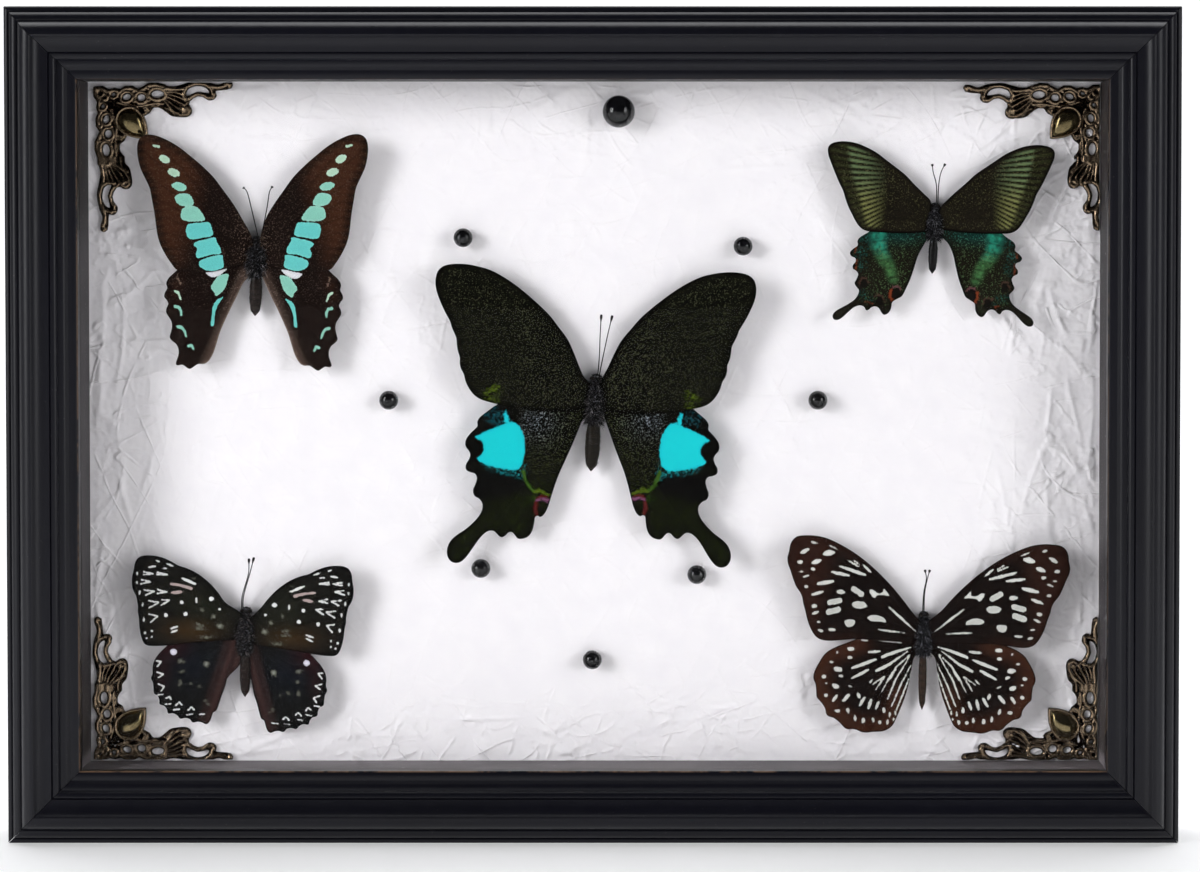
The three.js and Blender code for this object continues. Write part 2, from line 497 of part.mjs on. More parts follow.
/** Head, thorax and abdomen as one spindle, each radius grown by a margin. */
function torso({ head: [headAt, headRadius], thorax: [front, back, radius], abdomen: [tip, belly] }, margin = 0) {
  const neck = front - 0.2;
  const waist = back - 0.6;
  const length = waist - tip;
  const stations = [
    [headAt + headRadius + margin, 0], [headAt + headRadius * 0.75, headRadius * 0.7], [headAt, headRadius],
    [neck, headRadius * 0.75], [front - 1.6, radius * 0.78], [(front + back) / 2 + 1, radius],
    [(front + back) / 2 - 1.6, radius * 0.96], [back + 1, radius * 0.76], [waist, belly * 0.8],
    [waist - length * 0.25, belly], [waist - length * 0.58, belly], [waist - length * 0.86, belly * 0.74],
    [tip - margin, 0],
  ].map(([y, stationRadius]) => [y, stationRadius + margin]);
  const geometry = spindle(stations, 8);
  geometry.scale(1, 1, BODY_FLATNESS);
  return geometry;
}

/** The body with its two antennae, lying along +Y with its middle at z = 0. */
function bodySolid(kind) {
  const antennaRadius = 0.2;
  const clubRadius = 0.42;
  let body = solid(torso(kind.body).rotateZ(-radians(kind.body.lean)));
  for (const line of kind.antennae) {
    const points = line.map(([x, y], i) => [x, y, 0.3 + 0.35 * i]);
    const [tipX, tipY, tipZ] = points[points.length - 1];
    const club = new THREE.SphereGeometry(clubRadius, 5, 3).scale(1, 2.2, 1).translate(tipX, tipY, tipZ);
    body = body.add(solid(rod(points, antennaRadius, 4, 5))).add(solid(club));
  }
  return body;
}

/** A wing plate, cut back from the body so that it just clears it. */
function wingSolid(kind, pair, side, hinge) {
  const [sweep, outwards, headwards] = kind.set[side > 0 ? 'right' : 'left']?.[pair] ?? [0, 0, 0];
  const outline = kind[pair].map(([out, up]) => {
    const reach = out < ROOT_REACH ? ROOT_END : out + outwards;
    return new THREE.Vector2(side * reach, up + headwards);
  });
  const plate = new THREE.ExtrudeGeometry(new THREE.Shape(outline), { depth: WING_THICKNESS, bevelEnabled: false });
  plate.rotateZ(side * radians(sweep));
  plate.rotateY(-side * radians(WING_RISE));
  plate.translate(0, 0, hinge + (pair === 'fore' ? WING_STEP : 0));
  const clearance = torso(kind.body, REST_GAP).rotateZ(-radians(kind.body.lean));
  const parts = solid(plate).subtract(solid(clearance)).decompose();
  return parts.reduce((largest, piece) => (piece.volume() > largest.volume() ? piece : largest));
}

/** One set butterfly: its body with antennae and its four wings, leaning clockwise about the thorax. */
function butterfly(name, kind) {
  const color = finish(kind.color, 0.6);
  const radius = kind.body.thorax[2];
  const hinge = radius * HINGE_RISE;
  const group = new THREE.Group();
  group.position.set(...kind.place, PAPER_FRONT + REST_GAP + radius * BODY_FLATNESS);
  group.rotation.z = -radians(kind.lean);
  group.add(mesh(`${name}_body`, surface(bodySolid(kind)), color));
  for (const [word, side] of [['left', -1], ['right', 1]]) {
    group.add(mesh(`${name}_forewing_${word}`, surface(wingSolid(kind, 'fore', side, hinge)), color));
    group.add(mesh(`${name}_hindwing_${word}`, surface(wingSolid(kind, 'hind', side, hinge)), color));
  }
  return group;
}

// ---- Assembly -----------------------------------------------------------------------------------------------------

/** Everything drawn as it is seen from the front, x right, y up, z towards the viewer, then stood on its rail. */
const framedButterflies = new THREE.Group();
framedButterflies.rotation.x = Math.PI / 2;
framedButterflies.position.set(0, -HANGER_STAND / 2, FRAME_HEIGHT / 2);
framedButterflies.add(...frameRails(), ...rebateStack(), ...framersPoints(), ...sawtoothHanger());
framedButterflies.add(...Object.entries(BEAD_PLACES).map(([name, place]) => bead(name, place)));
framedButterflies.add(
  ornament('ornament_top_left', -154.6, 103.7, 2.4),
  ornament('ornament_top_right', 156.9, 104.2, -0.4),
  ornament('ornament_bottom_left', -155.3, -105.4, 0),
  ornament('ornament_bottom_right', 156.8, -105.5, 0),
);
framedButterflies.add(...Object.entries(SPECIES).map(([name, kind]) => butterfly(name, kind)));

export default framedButterflies;
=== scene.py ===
"""Five butterflies in a frame: the looks of every visible surface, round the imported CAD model."""

import math

import bpy
import numpy as np
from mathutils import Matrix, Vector, geometry

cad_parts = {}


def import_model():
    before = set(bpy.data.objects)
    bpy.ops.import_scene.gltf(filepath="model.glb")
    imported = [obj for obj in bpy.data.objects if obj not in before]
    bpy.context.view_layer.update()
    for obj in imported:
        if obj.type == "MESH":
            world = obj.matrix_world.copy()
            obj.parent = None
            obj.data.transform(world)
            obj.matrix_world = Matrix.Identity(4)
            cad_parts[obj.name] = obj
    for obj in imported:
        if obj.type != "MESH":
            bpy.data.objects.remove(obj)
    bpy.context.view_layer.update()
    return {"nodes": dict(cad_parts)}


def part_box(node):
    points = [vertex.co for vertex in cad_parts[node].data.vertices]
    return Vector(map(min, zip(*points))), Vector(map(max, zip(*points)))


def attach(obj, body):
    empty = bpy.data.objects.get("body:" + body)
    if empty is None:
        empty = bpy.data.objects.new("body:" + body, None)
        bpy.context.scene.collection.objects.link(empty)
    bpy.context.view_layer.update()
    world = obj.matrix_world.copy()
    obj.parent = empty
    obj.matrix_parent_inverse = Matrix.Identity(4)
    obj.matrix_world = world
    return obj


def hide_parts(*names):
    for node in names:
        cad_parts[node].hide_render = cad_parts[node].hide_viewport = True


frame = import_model()

# ---- Units, places and helpers -------------------------------------------------------------------
# Places are in millimetres from the middle of the frame: x right, z up, h towards the viewer.

MM = 0.001
HALF_WIDTH = 178.0
HALF_HEIGHT = 127.0
RAIL_WIDTH = 22.2
CREST_RISE = 7.2  # of the moulding over the frame's outer arris
PAPER_LEVEL = -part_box("backing_paper")[0][1] / MM  # h of the paper's face
EDGE_LEVEL = -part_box("rail_top")[0][1] / MM - CREST_RISE  # h of the frame's outer arris
RAIL_BACK = -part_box("rail_top")[1][1] / MM
SIGHT_X = HALF_WIDTH - RAIL_WIDTH  # half the opening's width
SIGHT_Z = HALF_HEIGHT - RAIL_WIDTH
REST_GAP = 0.3  # between the paper and what is glued on it


def srgb(red, green, blue):
    """A linear colour from one given as 0 to 255 display values."""
    channels = np.array([red, green, blue]) / 255.0
    return np.where(channels <= 0.04045, channels / 12.92, ((channels + 0.055) / 1.055) ** 2.4)


def rgba(color):
    return (*[float(channel) for channel in color[:3]], 1.0)


def world(points):
    """World metres from picture millimetres (x, z, h)."""
    points = np.asarray(points, float)
    return np.stack([points[:, 0], -points[:, 2], points[:, 1] + HALF_HEIGHT], axis=1) * MM


def smoothstep(low, high, value):
    t = np.clip((value - low) / (high - low), 0.0, 1.0)
    return t * t * (3.0 - 2.0 * t)


def turned(x, y, degrees):
    c, s = math.cos(math.radians(degrees)), math.sin(math.radians(degrees))
    return x * c - y * s, x * s + y * c


def value_noise(x, y, size, seed):
    """Smooth noise from -1 to 1 whose features are about size across."""
    table = np.random.default_rng(seed).uniform(-1.0, 1.0, (256, 256))
    gx, gy = np.asarray(x) / size + 97.3, np.asarray(y) / size + 41.7
    ix, iy = np.floor(gx).astype(int), np.floor(gy).astype(int)
    fx, fy = gx - ix, gy - iy
    fx, fy = fx * fx * (3 - 2 * fx), fy * fy * (3 - 2 * fy)
    a, b = table[ix % 256, iy % 256], table[(ix + 1) % 256, iy % 256]
    c, d = table[ix % 256, (iy + 1) % 256], table[(ix + 1) % 256, (iy + 1) % 256]
    return (a * (1 - fx) + b * fx) * (1 - fy) + (c * (1 - fx) + d * fx) * fy


def make_piece(name, vertices, faces, material, sharp_degrees=None):
    """A mesh object from world points and faces."""
    mesh = bpy.data.meshes.new(name)
    corners = [tuple(int(i) for i in face) for face in faces]
    mesh.from_pydata(np.asarray(vertices, float).tolist(), [], corners)
    mesh.validate()
    mesh.update()
    mesh.polygons.foreach_set("use_smooth", [True] * len(mesh.polygons))
    if sharp_degrees is not None:
        mesh.set_sharp_from_angle(angle=math.radians(sharp_degrees))
    mesh.materials.append(material)
    obj = bpy.data.objects.new(name, mesh)
    bpy.context.scene.collection.objects.link(obj)
    return obj


def belongs(obj, node):
    """The piece rides on the frame and stands for its CAD node, which is hidden."""
    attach(obj, "root")
    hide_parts(node)


def ring_quads(rings, sides, outward=True):
    """Quads between neighbouring rings of points; not outward where the rings run the other way."""
    quads = []
    for ring in range(rings - 1):
        for side in range(sides):
            a, b = ring * sides + side, ring * sides + (side + 1) % sides
            quads.append((a, b, b + sides, a + sides) if outward else (a, a + sides, b + sides, b))
    return quads


def cell_corners(grid):
    """What a grid holds at the four corners of each of its cells, going round the cell."""
    return grid[:-1, :-1], grid[1:, :-1], grid[1:, 1:], grid[:-1, 1:]


def end_caps(rings, sides):
    """The faces that close the first and the last ring, both in the order of their points."""
    return tuple(range(sides)), tuple(range((rings - 1) * sides, rings * sides))


def edge_walls(faces, count):
    """Quads from the open edges of the faces to the same edges of a copy, count points further on."""
    edges = {}
    for face in faces:
        for pair in zip(face, face[1:] + face[:1]):
            edges[pair] = True
    return [(j, i, i + count, j + count) for i, j in edges if (j, i) not in edges]


def paint(obj, name, colors):
    """A colour attribute, one colour a vertex."""
    data = np.ones((len(obj.data.vertices), 4), np.float32)
    data[:, :colors.shape[1]] = colors
    obj.data.attributes.new(name, "FLOAT_COLOR", "POINT").data.foreach_set("color", data.ravel())


def dress(node, material):
    """Gives a CAD node its material."""
    obj = frame["nodes"][node]
    obj.data.materials.clear()
    obj.data.materials.append(material)
    for polygon in obj.data.polygons:
        polygon.material_index = 0


# ---- Material building ---------------------------------------------------------------------------

class Nodes:
    """A short way to write a material's nodes."""

    def __init__(self, name):
        self.material = bpy.data.materials.new(name)
        self.material.use_nodes = True
        self.tree = self.material.node_tree
        self.shader = next(node for node in self.tree.nodes if node.type == "BSDF_PRINCIPLED")

    def link(self, value, socket):
        if isinstance(value, bpy.types.NodeSocket):
            self.tree.links.new(value, socket)
        elif value is not None:
            socket.default_value = value

    def add(self, kind, inputs=None, **settings):
        node = self.tree.nodes.new(kind)
        for key, value in settings.items():
            setattr(node, key, value)
        for key, value in (inputs or {}).items():
            self.link(value, node.inputs[key])
        return node

    def place(self):
        return self.add("ShaderNodeTexCoord").outputs["Object"]

    def noise(self, scale, detail=3.0, roughness=0.5, distortion=0.0, vector=None):
        inputs = {"Scale": scale, "Detail": detail, "Roughness": roughness, "Distortion": distortion,
                  "Vector": vector or self.place()}
        return self.add("ShaderNodeTexNoise", inputs).outputs["Fac"]

    def stretched(self, x, y, z):
        return self.add("ShaderNodeMapping", {"Vector": self.place(), "Scale": (x, y, z)}).outputs["Vector"]

    def remap(self, value, low, high, to_low=0.0, to_high=1.0, kind="SMOOTHSTEP"):
        inputs = {"Value": value, "From Min": low, "From Max": high, "To Min": to_low, "To Max": to_high}
        return self.add("ShaderNodeMapRange", inputs, interpolation_type=kind).outputs["Result"]

    def math(self, operation, a, b=None):
        node = self.add("ShaderNodeMath", operation=operation)
        self.link(a, node.inputs[0])
        self.link(b, node.inputs[1])
        return node.outputs[0]

    def link_color(self, color, socket):
        self.link(color if isinstance(color, bpy.types.NodeSocket) else rgba(color), socket)

    def mix(self, factor, a, b):
        node = self.add("ShaderNodeMix", data_type="RGBA")
        self.link(factor, node.inputs["Factor"])
        self.link_color(a, node.inputs["A"])
        self.link_color(b, node.inputs["B"])
        return node.outputs["Result"]

    def attribute(self, name):
        return self.add("ShaderNodeAttribute", attribute_name=name).outputs["Color"]

    def channels(self, name):
        """The separate channels of a colour attribute."""
        return self.add("ShaderNodeSeparateColor", {"Color": self.attribute(name)}).outputs

    def bump(self, height, strength, distance):
        inputs = {"Height": height, "Strength": strength, "Distance": distance}
        return self.add("ShaderNodeBump", inputs).outputs["Normal"]

    def finish(self, color, roughness, normal=None, **constants):
        self.link_color(color, self.shader.inputs["Base Color"])
        self.link(roughness, self.shader.inputs["Roughness"])
        if normal is not None:
            self.link(normal, self.shader.inputs["Normal"])
        for key, value in constants.items():
            self.shader.inputs[key.replace("_", " ")].default_value = value
        return self.material


def frame_paint():
    """Satin black paint on wood, with a worn brown line along the sight edge."""
    n = Nodes("frame_paint")
    reach, wear, _ = n.channels("profile")[:3]
    grain = n.noise(260.0, 4.0, 0.6, 0.4)
    drift = n.noise(14.0, 2.0)
    paint_color = n.mix(drift, srgb(10, 10, 16), srgb(16, 16, 26))
    scratches = n.remap(n.noise(900.0, 3.0, 0.7), 0.66, 0.74)
    scuffed = n.math("MULTIPLY", scratches, n.remap(n.noise(40.0), 0.45, 0.7))
    paint_color = n.mix(n.math("MULTIPLY", scuffed, 0.35), paint_color, srgb(110, 108, 106))
    edge = n.remap(reach, 0.978, 0.99)
    bare = n.math("MULTIPLY", edge, n.remap(n.noise(120.0, 4.0, 0.7), 0.38, 0.55))
    paint_color = n.mix(n.math("MULTIPLY", bare, wear), paint_color, srgb(120, 94, 72))
    outside = n.remap(reach, 0.0, 0.03, 0.24, 0.0)
    roughness = n.math("ADD", n.remap(grain, 0.2, 0.8, 0.27, 0.38, "LINEAR"), outside)
    normal = n.bump(grain, 0.12, 0.0002)
    return n.finish(paint_color, roughness, normal, Specular_IOR_Level=0.27)


LIT_STRIP_HEIGHT = 0.024  # in metres; below this the bottom strip is painted paler, as painted light from above


def spacer_paint():
    """Matt dark strips with pale specks; the bottom one is painted paler in clouds, as painted light from
    above.
    """
    n = Nodes("spacer")
    cloudy = n.noise(30.0, 5.0, 0.6, 0.5, n.stretched(0.35, 1.0, 0.35))
    color = n.mix(n.remap(cloudy, 0.35, 0.7), srgb(33, 30, 32), srgb(58, 53, 55))
    height = n.add("ShaderNodeSeparateXYZ", {"Vector": n.place()}).outputs["Z"]
    # Painted light: the bottom strip is painted paler in clouds, for the light that falls on it from above.
    painted_light_from_above = n.remap(height, LIT_STRIP_HEIGHT + 0.003, LIT_STRIP_HEIGHT, 0.0, 0.95)
    color = n.mix(n.math("MULTIPLY", painted_light_from_above, cloudy), color, srgb(150, 142, 146))
    specks = n.remap(n.noise(700.0, 2.0, 0.6), 0.7, 0.76)
    color = n.mix(n.math("MULTIPLY", specks, 0.5), color, srgb(205, 200, 195))
    normal = n.bump(n.noise(800.0, 3.0), 0.2, 0.0002)
    return n.finish(color, 0.6, normal)


def crinkled_paper():
    """White tissue, a little cloudy. Its large creases are in the mesh, the thin ones are a bump."""
    n = Nodes("paper")
    crinkled = n.channels("crinkle")[0]
    cloudy = n.noise(150.0, 2.0, 0.65)
    height = cloudy
    for turn, scale in ((0.45, 95.0), (1.35, 125.0), (2.45, 110.0)):
        inputs = {"Vector": n.place(), "Rotation": (0.0, turn, 0.0), "Scale": (1.0, 1.0, 3.4)}
        line = n.add("ShaderNodeMapping", inputs, vector_type="TEXTURE").outputs["Vector"]
        away = n.math("ABSOLUTE", n.math("SUBTRACT", n.noise(scale, 0.0, 0.5, 0.0, line), 0.5))
        patchy = n.remap(cloudy, 0.38, 0.62, 0.0, 0.26)
        crease = n.math("MULTIPLY", n.remap(away, 0.0, 0.035, 1.0, 0.0), patchy)
        height = n.math("ADD", height, crease)
    strength = n.remap(crinkled, 0.0, 1.0, 0.12, 0.8, "LINEAR")
    color = n.mix(cloudy, srgb(243, 239, 243), srgb(253, 249, 250))
    return n.finish(color, 0.75, n.bump(height, strength, 0.0012), Specular_IOR_Level=0.25)


GLASS_IOR = 1.08  # low, as for picture glass with a coating against reflections


def clear_glass():
    n = Nodes("glass")
    tint = n.mix(n.noise(35.0, 2.0), (0.975, 0.978, 0.976), (0.985, 0.988, 0.986))
    return n.finish(tint, 0.0, IOR=GLASS_IOR, Transmission_Weight=1.0)


def plain_board(name, light, dark, scale=80.0):
    n = Nodes(name)
    fibres = n.noise(scale, 6.0, 0.65, 0.6, n.stretched(1.0, 1.0, 3.0))
    color = n.mix(fibres, light, dark)
    flecks = n.remap(n.noise(scale * 9.0, 2.0), 0.62, 0.7)
    color = n.mix(n.math("MULTIPLY", flecks, 0.4), color, dark)
    return n.finish(color, 0.82, n.bump(fibres, 0.3, 0.0003))


def zinc_steel():
    n = Nodes("steel")
    brushed = n.noise(500.0, 4.0, 0.6, 0.0, n.stretched(0.1, 1.0, 1.0))
    color = n.mix(brushed, srgb(150, 151, 156), srgb(196, 197, 200))
    roughness = n.remap(brushed, 0.2, 0.8, 0.28, 0.45, "LINEAR")
    return n.finish(color, roughness, n.bump(brushed, 0.1, 0.0001), Metallic=1.0)


def black_bead():
    n = Nodes("bead")
    color = n.mix(n.noise(300.0), srgb(6, 6, 8), srgb(14, 14, 17))
    return n.finish(color, 0.05, n.bump(n.noise(160.0), 0.01, 0.0002), Specular_IOR_Level=0.45)


# ---- Frame moulding ------------------------------------------------------------------------------

REBATE_WIDTH = 6.0
LIP_RISE = 1.0
LIP_THICKNESS = 3.0
MITRE_GAP = 0.1
CURVE_STEPS = 9
RAIL_ROWS = 25  # sections along a rail


def moulding_section():
    """(distance in from the outer edge, height over the outer arris) of the moulding's visible side."""
    points = [(0.0, 0.0)]

    def curve(*controls):
        chain = [np.array(points[-1])] + [np.array(control) for control in controls]
        for step in range(1, CURVE_STEPS + 1):
            level = chain
            t = step / CURVE_STEPS
            while len(level) > 1:
                level = [a * (1 - t) + b * t for a, b in zip(level, level[1:])]
            points.append(tuple(level[0]))

    def line(*point):
        points.append(point)

    curve((0.1, 0.9), (1.2, 1.0))
    line(1.7, 0.8)
    line(2.0, 2.1)
    curve((2.9, 3.4), (4.2, 3.3))
    line(4.6, 3.1)
    line(4.9, 4.2)
    curve((5.6, 6.4), (7.2, 7.2), (8.8, CREST_RISE))
    line(9.2, 6.9)
    curve((10.4, 5.4), (12.6, 5.0))
    line(14.0, 4.8)
    line(14.2, 4.3)
    line(14.5, 4.6)
    curve((15.7, 4.6), (16.2, 3.9))
    line(16.6, 3.2)
    curve((18.0, 3.2), (18.6, 2.6))
    line(19.4, 1.9)
    curve((21.0, 2.0), (21.9, 1.6))
    curve((22.2, 1.4), (RAIL_WIDTH, LIP_RISE))
    line(RAIL_WIDTH, LIP_RISE - LIP_THICKNESS)
    line(RAIL_WIDTH - REBATE_WIDTH, LIP_RISE - LIP_THICKNESS)
    line(RAIL_WIDTH - REBATE_WIDTH, RAIL_BACK - EDGE_LEVEL)
    line(0.0, RAIL_BACK - EDGE_LEVEL)
    return points


def rail(name, half_length, half_reach, turn, wear, material):
    """One mitred rail, drawn as the top one and turned into its place."""
    section = moulding_section()
    points, marks = [], []
    for row in range(RAIL_ROWS):
        end = -1.0 + 2.0 * row / (RAIL_ROWS - 1)
        for inward, height in section:
            x, z = turned(end * (half_length - inward - MITRE_GAP), half_reach - inward, turn)
            points.append((x, z, EDGE_LEVEL + height))
            in_sight = height > LIP_RISE - 0.6
            marks.append((inward / RAIL_WIDTH if in_sight else 0.0, wear))
    first, last = end_caps(RAIL_ROWS, len(section))
    faces = ring_quads(RAIL_ROWS, len(section), outward=False) + [first, last[::-1]]
    obj = make_piece(name + "_moulding", world(points), faces, material, sharp_degrees=28)
    paint(obj, "profile", np.array(marks))
    belongs(obj, name)


def build_rails():
    material = frame_paint()
    rail("rail_top", HALF_WIDTH, HALF_HEIGHT, 0, 0.1, material)
    rail("rail_left", HALF_HEIGHT, HALF_WIDTH, 90, 0.55, material)
    rail("rail_bottom", HALF_WIDTH, HALF_HEIGHT, 180, 1.0, material)
    rail("rail_right", HALF_HEIGHT, HALF_WIDTH, 270, 0.25, material)


# ---- Paper ---------------------------------------------------------------------------------------

PAPER_THICKNESS = 0.3
FINE_PITCH = 0.56  # of the paper's mesh near its edges
COARSE_PITCH = 1.35  # and in the middle
CREASES = 1500
# The paper is ruffled in rings round these: (x, z, half width, half height).
SPECIMEN_SPOTS = [(0.3, 7.1, 50, 46), (-103.8, 51.6, 36, 36), (104.7, 61.8, 36, 27), (-107.7, -66.5, 33, 27),
                  (101.6, -66.5, 41, 30)]


def spaced(half, rim):
    """Grid lines from -half to half, fine within rim of the ends and coarse between."""
    inner = half - rim
    middle = np.linspace(-inner, inner, int(round(2 * inner / COARSE_PITCH)) + 1)
    edge = np.linspace(inner, half, int(round(rim / FINE_PITCH)) + 1)[1:]
    return np.concatenate([-edge[::-1], middle, edge])


def crinkle_amount(x, z):
    """How crinkled the paper is: most near the spacers, some round the specimens."""
    side = smoothstep(52.0, 4.0, np.minimum(SIGHT_X - np.abs(x), (SIGHT_Z - np.abs(z)) * 1.5))
    around = np.zeros_like(x)
    for cx, cz, rx, rz in SPECIMEN_SPOTS:
        distance = np.hypot((x - cx) / rx, (z - cz) / rz)
        around = np.maximum(around, smoothstep(0.45, 0.0, np.abs(distance - 1.05)))
    patchy = 0.75 + 0.5 * value_noise(x, z, 22.0, 5)
    return np.clip((0.1 + 0.9 * side + 0.32 * around) * patchy, 0.0, 1.0)


def build_paper():
    high = np.array(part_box("backing_paper")[1]) / MM
    x_lines = spaced(high[0], 46.0)
    z_lines = spaced(high[2] - HALF_HEIGHT, 40.0)
    x, z = np.meshgrid(x_lines, z_lines, indexing="ij")
    amount = crinkle_amount(x, z)
    warp_x = x + 3.0 * value_noise(x, z, 18.0, 1)
    warp_z = z + 3.0 * value_noise(x, z, 18.0, 2)
    height = np.zeros_like(x)
    for size, gain, seed in ((17.0, 0.45, 21), (8.5, 0.24, 22), (4.2, 0.1, 23)):
        ridge = 1.0 - np.abs(value_noise(warp_x, warp_z, size, seed)) * 2.2
        height += gain * np.clip(ridge, -0.2, 1.0) ** 3
    height *= amount
    draw = np.random.default_rng(11).uniform
    for _ in range(CREASES):
        cx, cz = draw(-SIGHT_X, SIGHT_X), draw(-SIGHT_Z, SIGHT_Z)
        local = float(crinkle_amount(np.array([cx]), np.array([cz]))[0])
        angle, length, width = draw(0, math.pi), draw(6, 30), draw(0.42, 0.7)
        gain = draw(0.05, 0.62) * (0.15 + local)
        dx, dz = x - cx, z - cz
        near = (np.abs(dx) < length) & (np.abs(dz) < length)
        along, across = turned(dx[near], dz[near], -math.degrees(angle))
        across = across + 0.008 * along ** 2 * math.sin(angle * 7)
        height[near] += gain * np.exp(-(across / width) ** 2 - (along / (0.5 * length)) ** 4)
    height += 0.16 * (0.5 + 0.5 * value_noise(x, z, 34.0, 31)) * (0.4 + amount)
    clear = smoothstep(0.2, 2.4, np.minimum(SIGHT_X - np.abs(x), SIGHT_Z - np.abs(z)))
    front = np.clip(height, 0.0, 1.7) * clear
    top = np.stack([x.ravel(), z.ravel(), PAPER_LEVEL + front.ravel()], axis=1)
    bottom = np.stack([x.ravel(), z.ravel(), np.full(x.size, PAPER_LEVEL - PAPER_THICKNESS)], axis=1)
    index = np.arange(x.size).reshape(x.shape)
    faces = np.stack([corner.ravel() for corner in cell_corners(index)], axis=1).tolist()
    rim = list(index[:, 0]) + list(index[-1, 1:]) + list(index[-2::-1, -1]) + list(index[0, -2:0:-1])
    rim_low = {vertex: x.size + i for i, vertex in enumerate(rim)}
    points = np.concatenate([top, bottom[rim]])
    for i, vertex in enumerate(rim):
        following = rim[(i + 1) % len(rim)]
        faces.append((vertex, rim_low[vertex], rim_low[following], following))
    faces.append(tuple(rim_low[vertex] for vertex in reversed(rim)))
    obj = make_piece("crinkled_paper", world(points), faces, crinkled_paper())
    marks = np.zeros((len(points), 3))
    marks[:x.size, 0] = amount.ravel()
    paint(obj, "crinkle", marks)
    belongs(obj, "backing_paper")


# ---- Beads ---------------------------------------------------------------------------------------

BEAD_RINGS = 22
BEAD_SIDES = 44
BEAD_GROWTH = 1.008  # of the round bead over half the height of the faceted one's box


def build_beads():
    material = black_bead()
    for node in sorted(name for name in frame["nodes"] if name.startswith("bead_")):
        low, high = [np.array(corner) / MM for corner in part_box(node)]
        radius = (high[2] - low[2]) / 2 * BEAD_GROWTH
        x, _, z = (low + high) / 2
        z -= HALF_HEIGHT
        middle, foot = -low[1] - radius, -high[1]
        points = []
        for ring in range(1, BEAD_RINGS):
            polar = math.pi * ring / BEAD_RINGS
            h = max(middle + radius * math.cos(polar), foot)
            for side in range(BEAD_SIDES):
                turn = 2 * math.pi * side / BEAD_SIDES
                points.append((x + radius * math.sin(polar) * math.cos(turn),
                               z + radius * math.sin(polar) * math.sin(turn), h))
        points += [(x, z, middle + radius), (x, z, foot)]
        faces = ring_quads(BEAD_RINGS - 1, BEAD_SIDES, outward=False)
        last = (BEAD_RINGS - 2) * BEAD_SIDES
        for side in range(BEAD_SIDES):
            following = (side + 1) % BEAD_SIDES
            faces.append((side, following, len(points) - 2))
            faces.append((last + following, last + side, len(points) - 1))
        belongs(make_piece(node + "_round", world(points), faces, material), node)


# ---- Marks on the wings --------------------------------------------------------------------------
# A wing is drawn in its own plane: out from the body and headwards along it, the same for left and right.


def segment_distance(u, v, start, end):
    """Distance to a segment, and how far along it the nearest point lies."""
    du, dv = end[0] - start[0], end[1] - start[1]
    t = np.clip(((u - start[0]) * du + (v - start[1]) * dv) / max(du * du + dv * dv, 1e-9), 0.0, 1.0)
    return np.hypot(u - start[0] - t * du, v - start[1] - t * dv), t


def spot(u0, v0, long, wide=None, turn=0.0):
    """An ellipse; like the other shapes it gives the depth inside its outline, negative outside."""
    wide = wide or long

    def depth(u, v):
        a, b = turned(u - u0, v - v0, -turn)
        return (1.0 - np.hypot(a / long, b / wide)) * min(long, wide)
    return depth


def stroke(points, wide, end=None, slim=0.0):
    """A line drawn with a round pen, which may taper, and may be slimmer at both ends than in the middle."""
    end = wide if end is None else end

    def depth(u, v):
        best = np.full(np.shape(u), -99.0)
        count = len(points) - 1
        for i in range(count):
            distance, t = segment_distance(u, v, points[i], points[i + 1])
            share = (i + t) / count
            pen = (wide + (end - wide) * share) * (1.0 - slim * (2.0 * share - 1.0) ** 2)
            best = np.maximum(best, pen - distance)
        return best
    return depth


def inside(u, v, loop):
    result = np.zeros(np.shape(u), bool)
    for (u0, v0), (u1, v1) in zip(loop, np.roll(loop, -1, axis=0)):
        if v0 != v1:
            result ^= ((v0 > v) != (v1 > v)) & (u < (u1 - u0) * (v - v0) / (v1 - v0) + u0)
    return result


def loop_depth(u, v, loop):
    distance = np.full(np.shape(u), 99.0)
    for start, end in zip(loop, np.roll(loop, -1, axis=0)):
        distance = np.minimum(distance, segment_distance(u, v, start, end)[0])
    return np.where(inside(u, v, loop), distance, -distance)


def crossed(t, start, end, a, b):
    """From a at start to b at end, at t."""
    return (end - t) / (end - start) * a + (t - start) / (end - start) * b


def rounded(points, per_side):
    """A closed smooth curve through the points."""
    points = np.asarray(points, float)
    result = []
    for i in range(len(points)):
        p0, p1, p2, p3 = [points[(i + k) % len(points)] for k in (-1, 0, 1, 2)]
        steps = [max(np.linalg.norm(b - a), 1e-6) ** 0.5 for a, b in ((p0, p1), (p1, p2), (p2, p3))]
        t0, t1, t2, t3 = np.cumsum([0.0, *steps])
        for t in np.linspace(t1, t2, per_side, endpoint=False):
            a1, a2, a3 = crossed(t, t0, t1, p0, p1), crossed(t, t1, t2, p1, p2), crossed(t, t2, t3, p2, p3)
            b1, b2 = crossed(t, t0, t2, a1, a2), crossed(t, t1, t3, a2, a3)
            result.append(crossed(t, t1, t2, b1, b2))
    return np.array(result)


def patch(points):
    """A filled shape with a smooth outline."""
    loop = rounded(points, 4)
    return lambda u, v: loop_depth(u, v, loop)


def chevrons(tips, wide):
    """Small marks of two arms each: (tip, end of one arm, end of the other)."""
    return [stroke([one, tip, other], wide) for tip, one, other in tips]


# A mark is (shape, (colour at its rim, colour further in), crispness). The crispness is how fast the mark
# covers the ground with the depth inside its outline: the lower it is, the more ragged the edge.
CRISP = 1.0
BRUSHED = 0.45
SOFT = 0.3
DUSTY = 0.13
DUSTY_COVER = -0.05  # dusty marks stay open between their scales

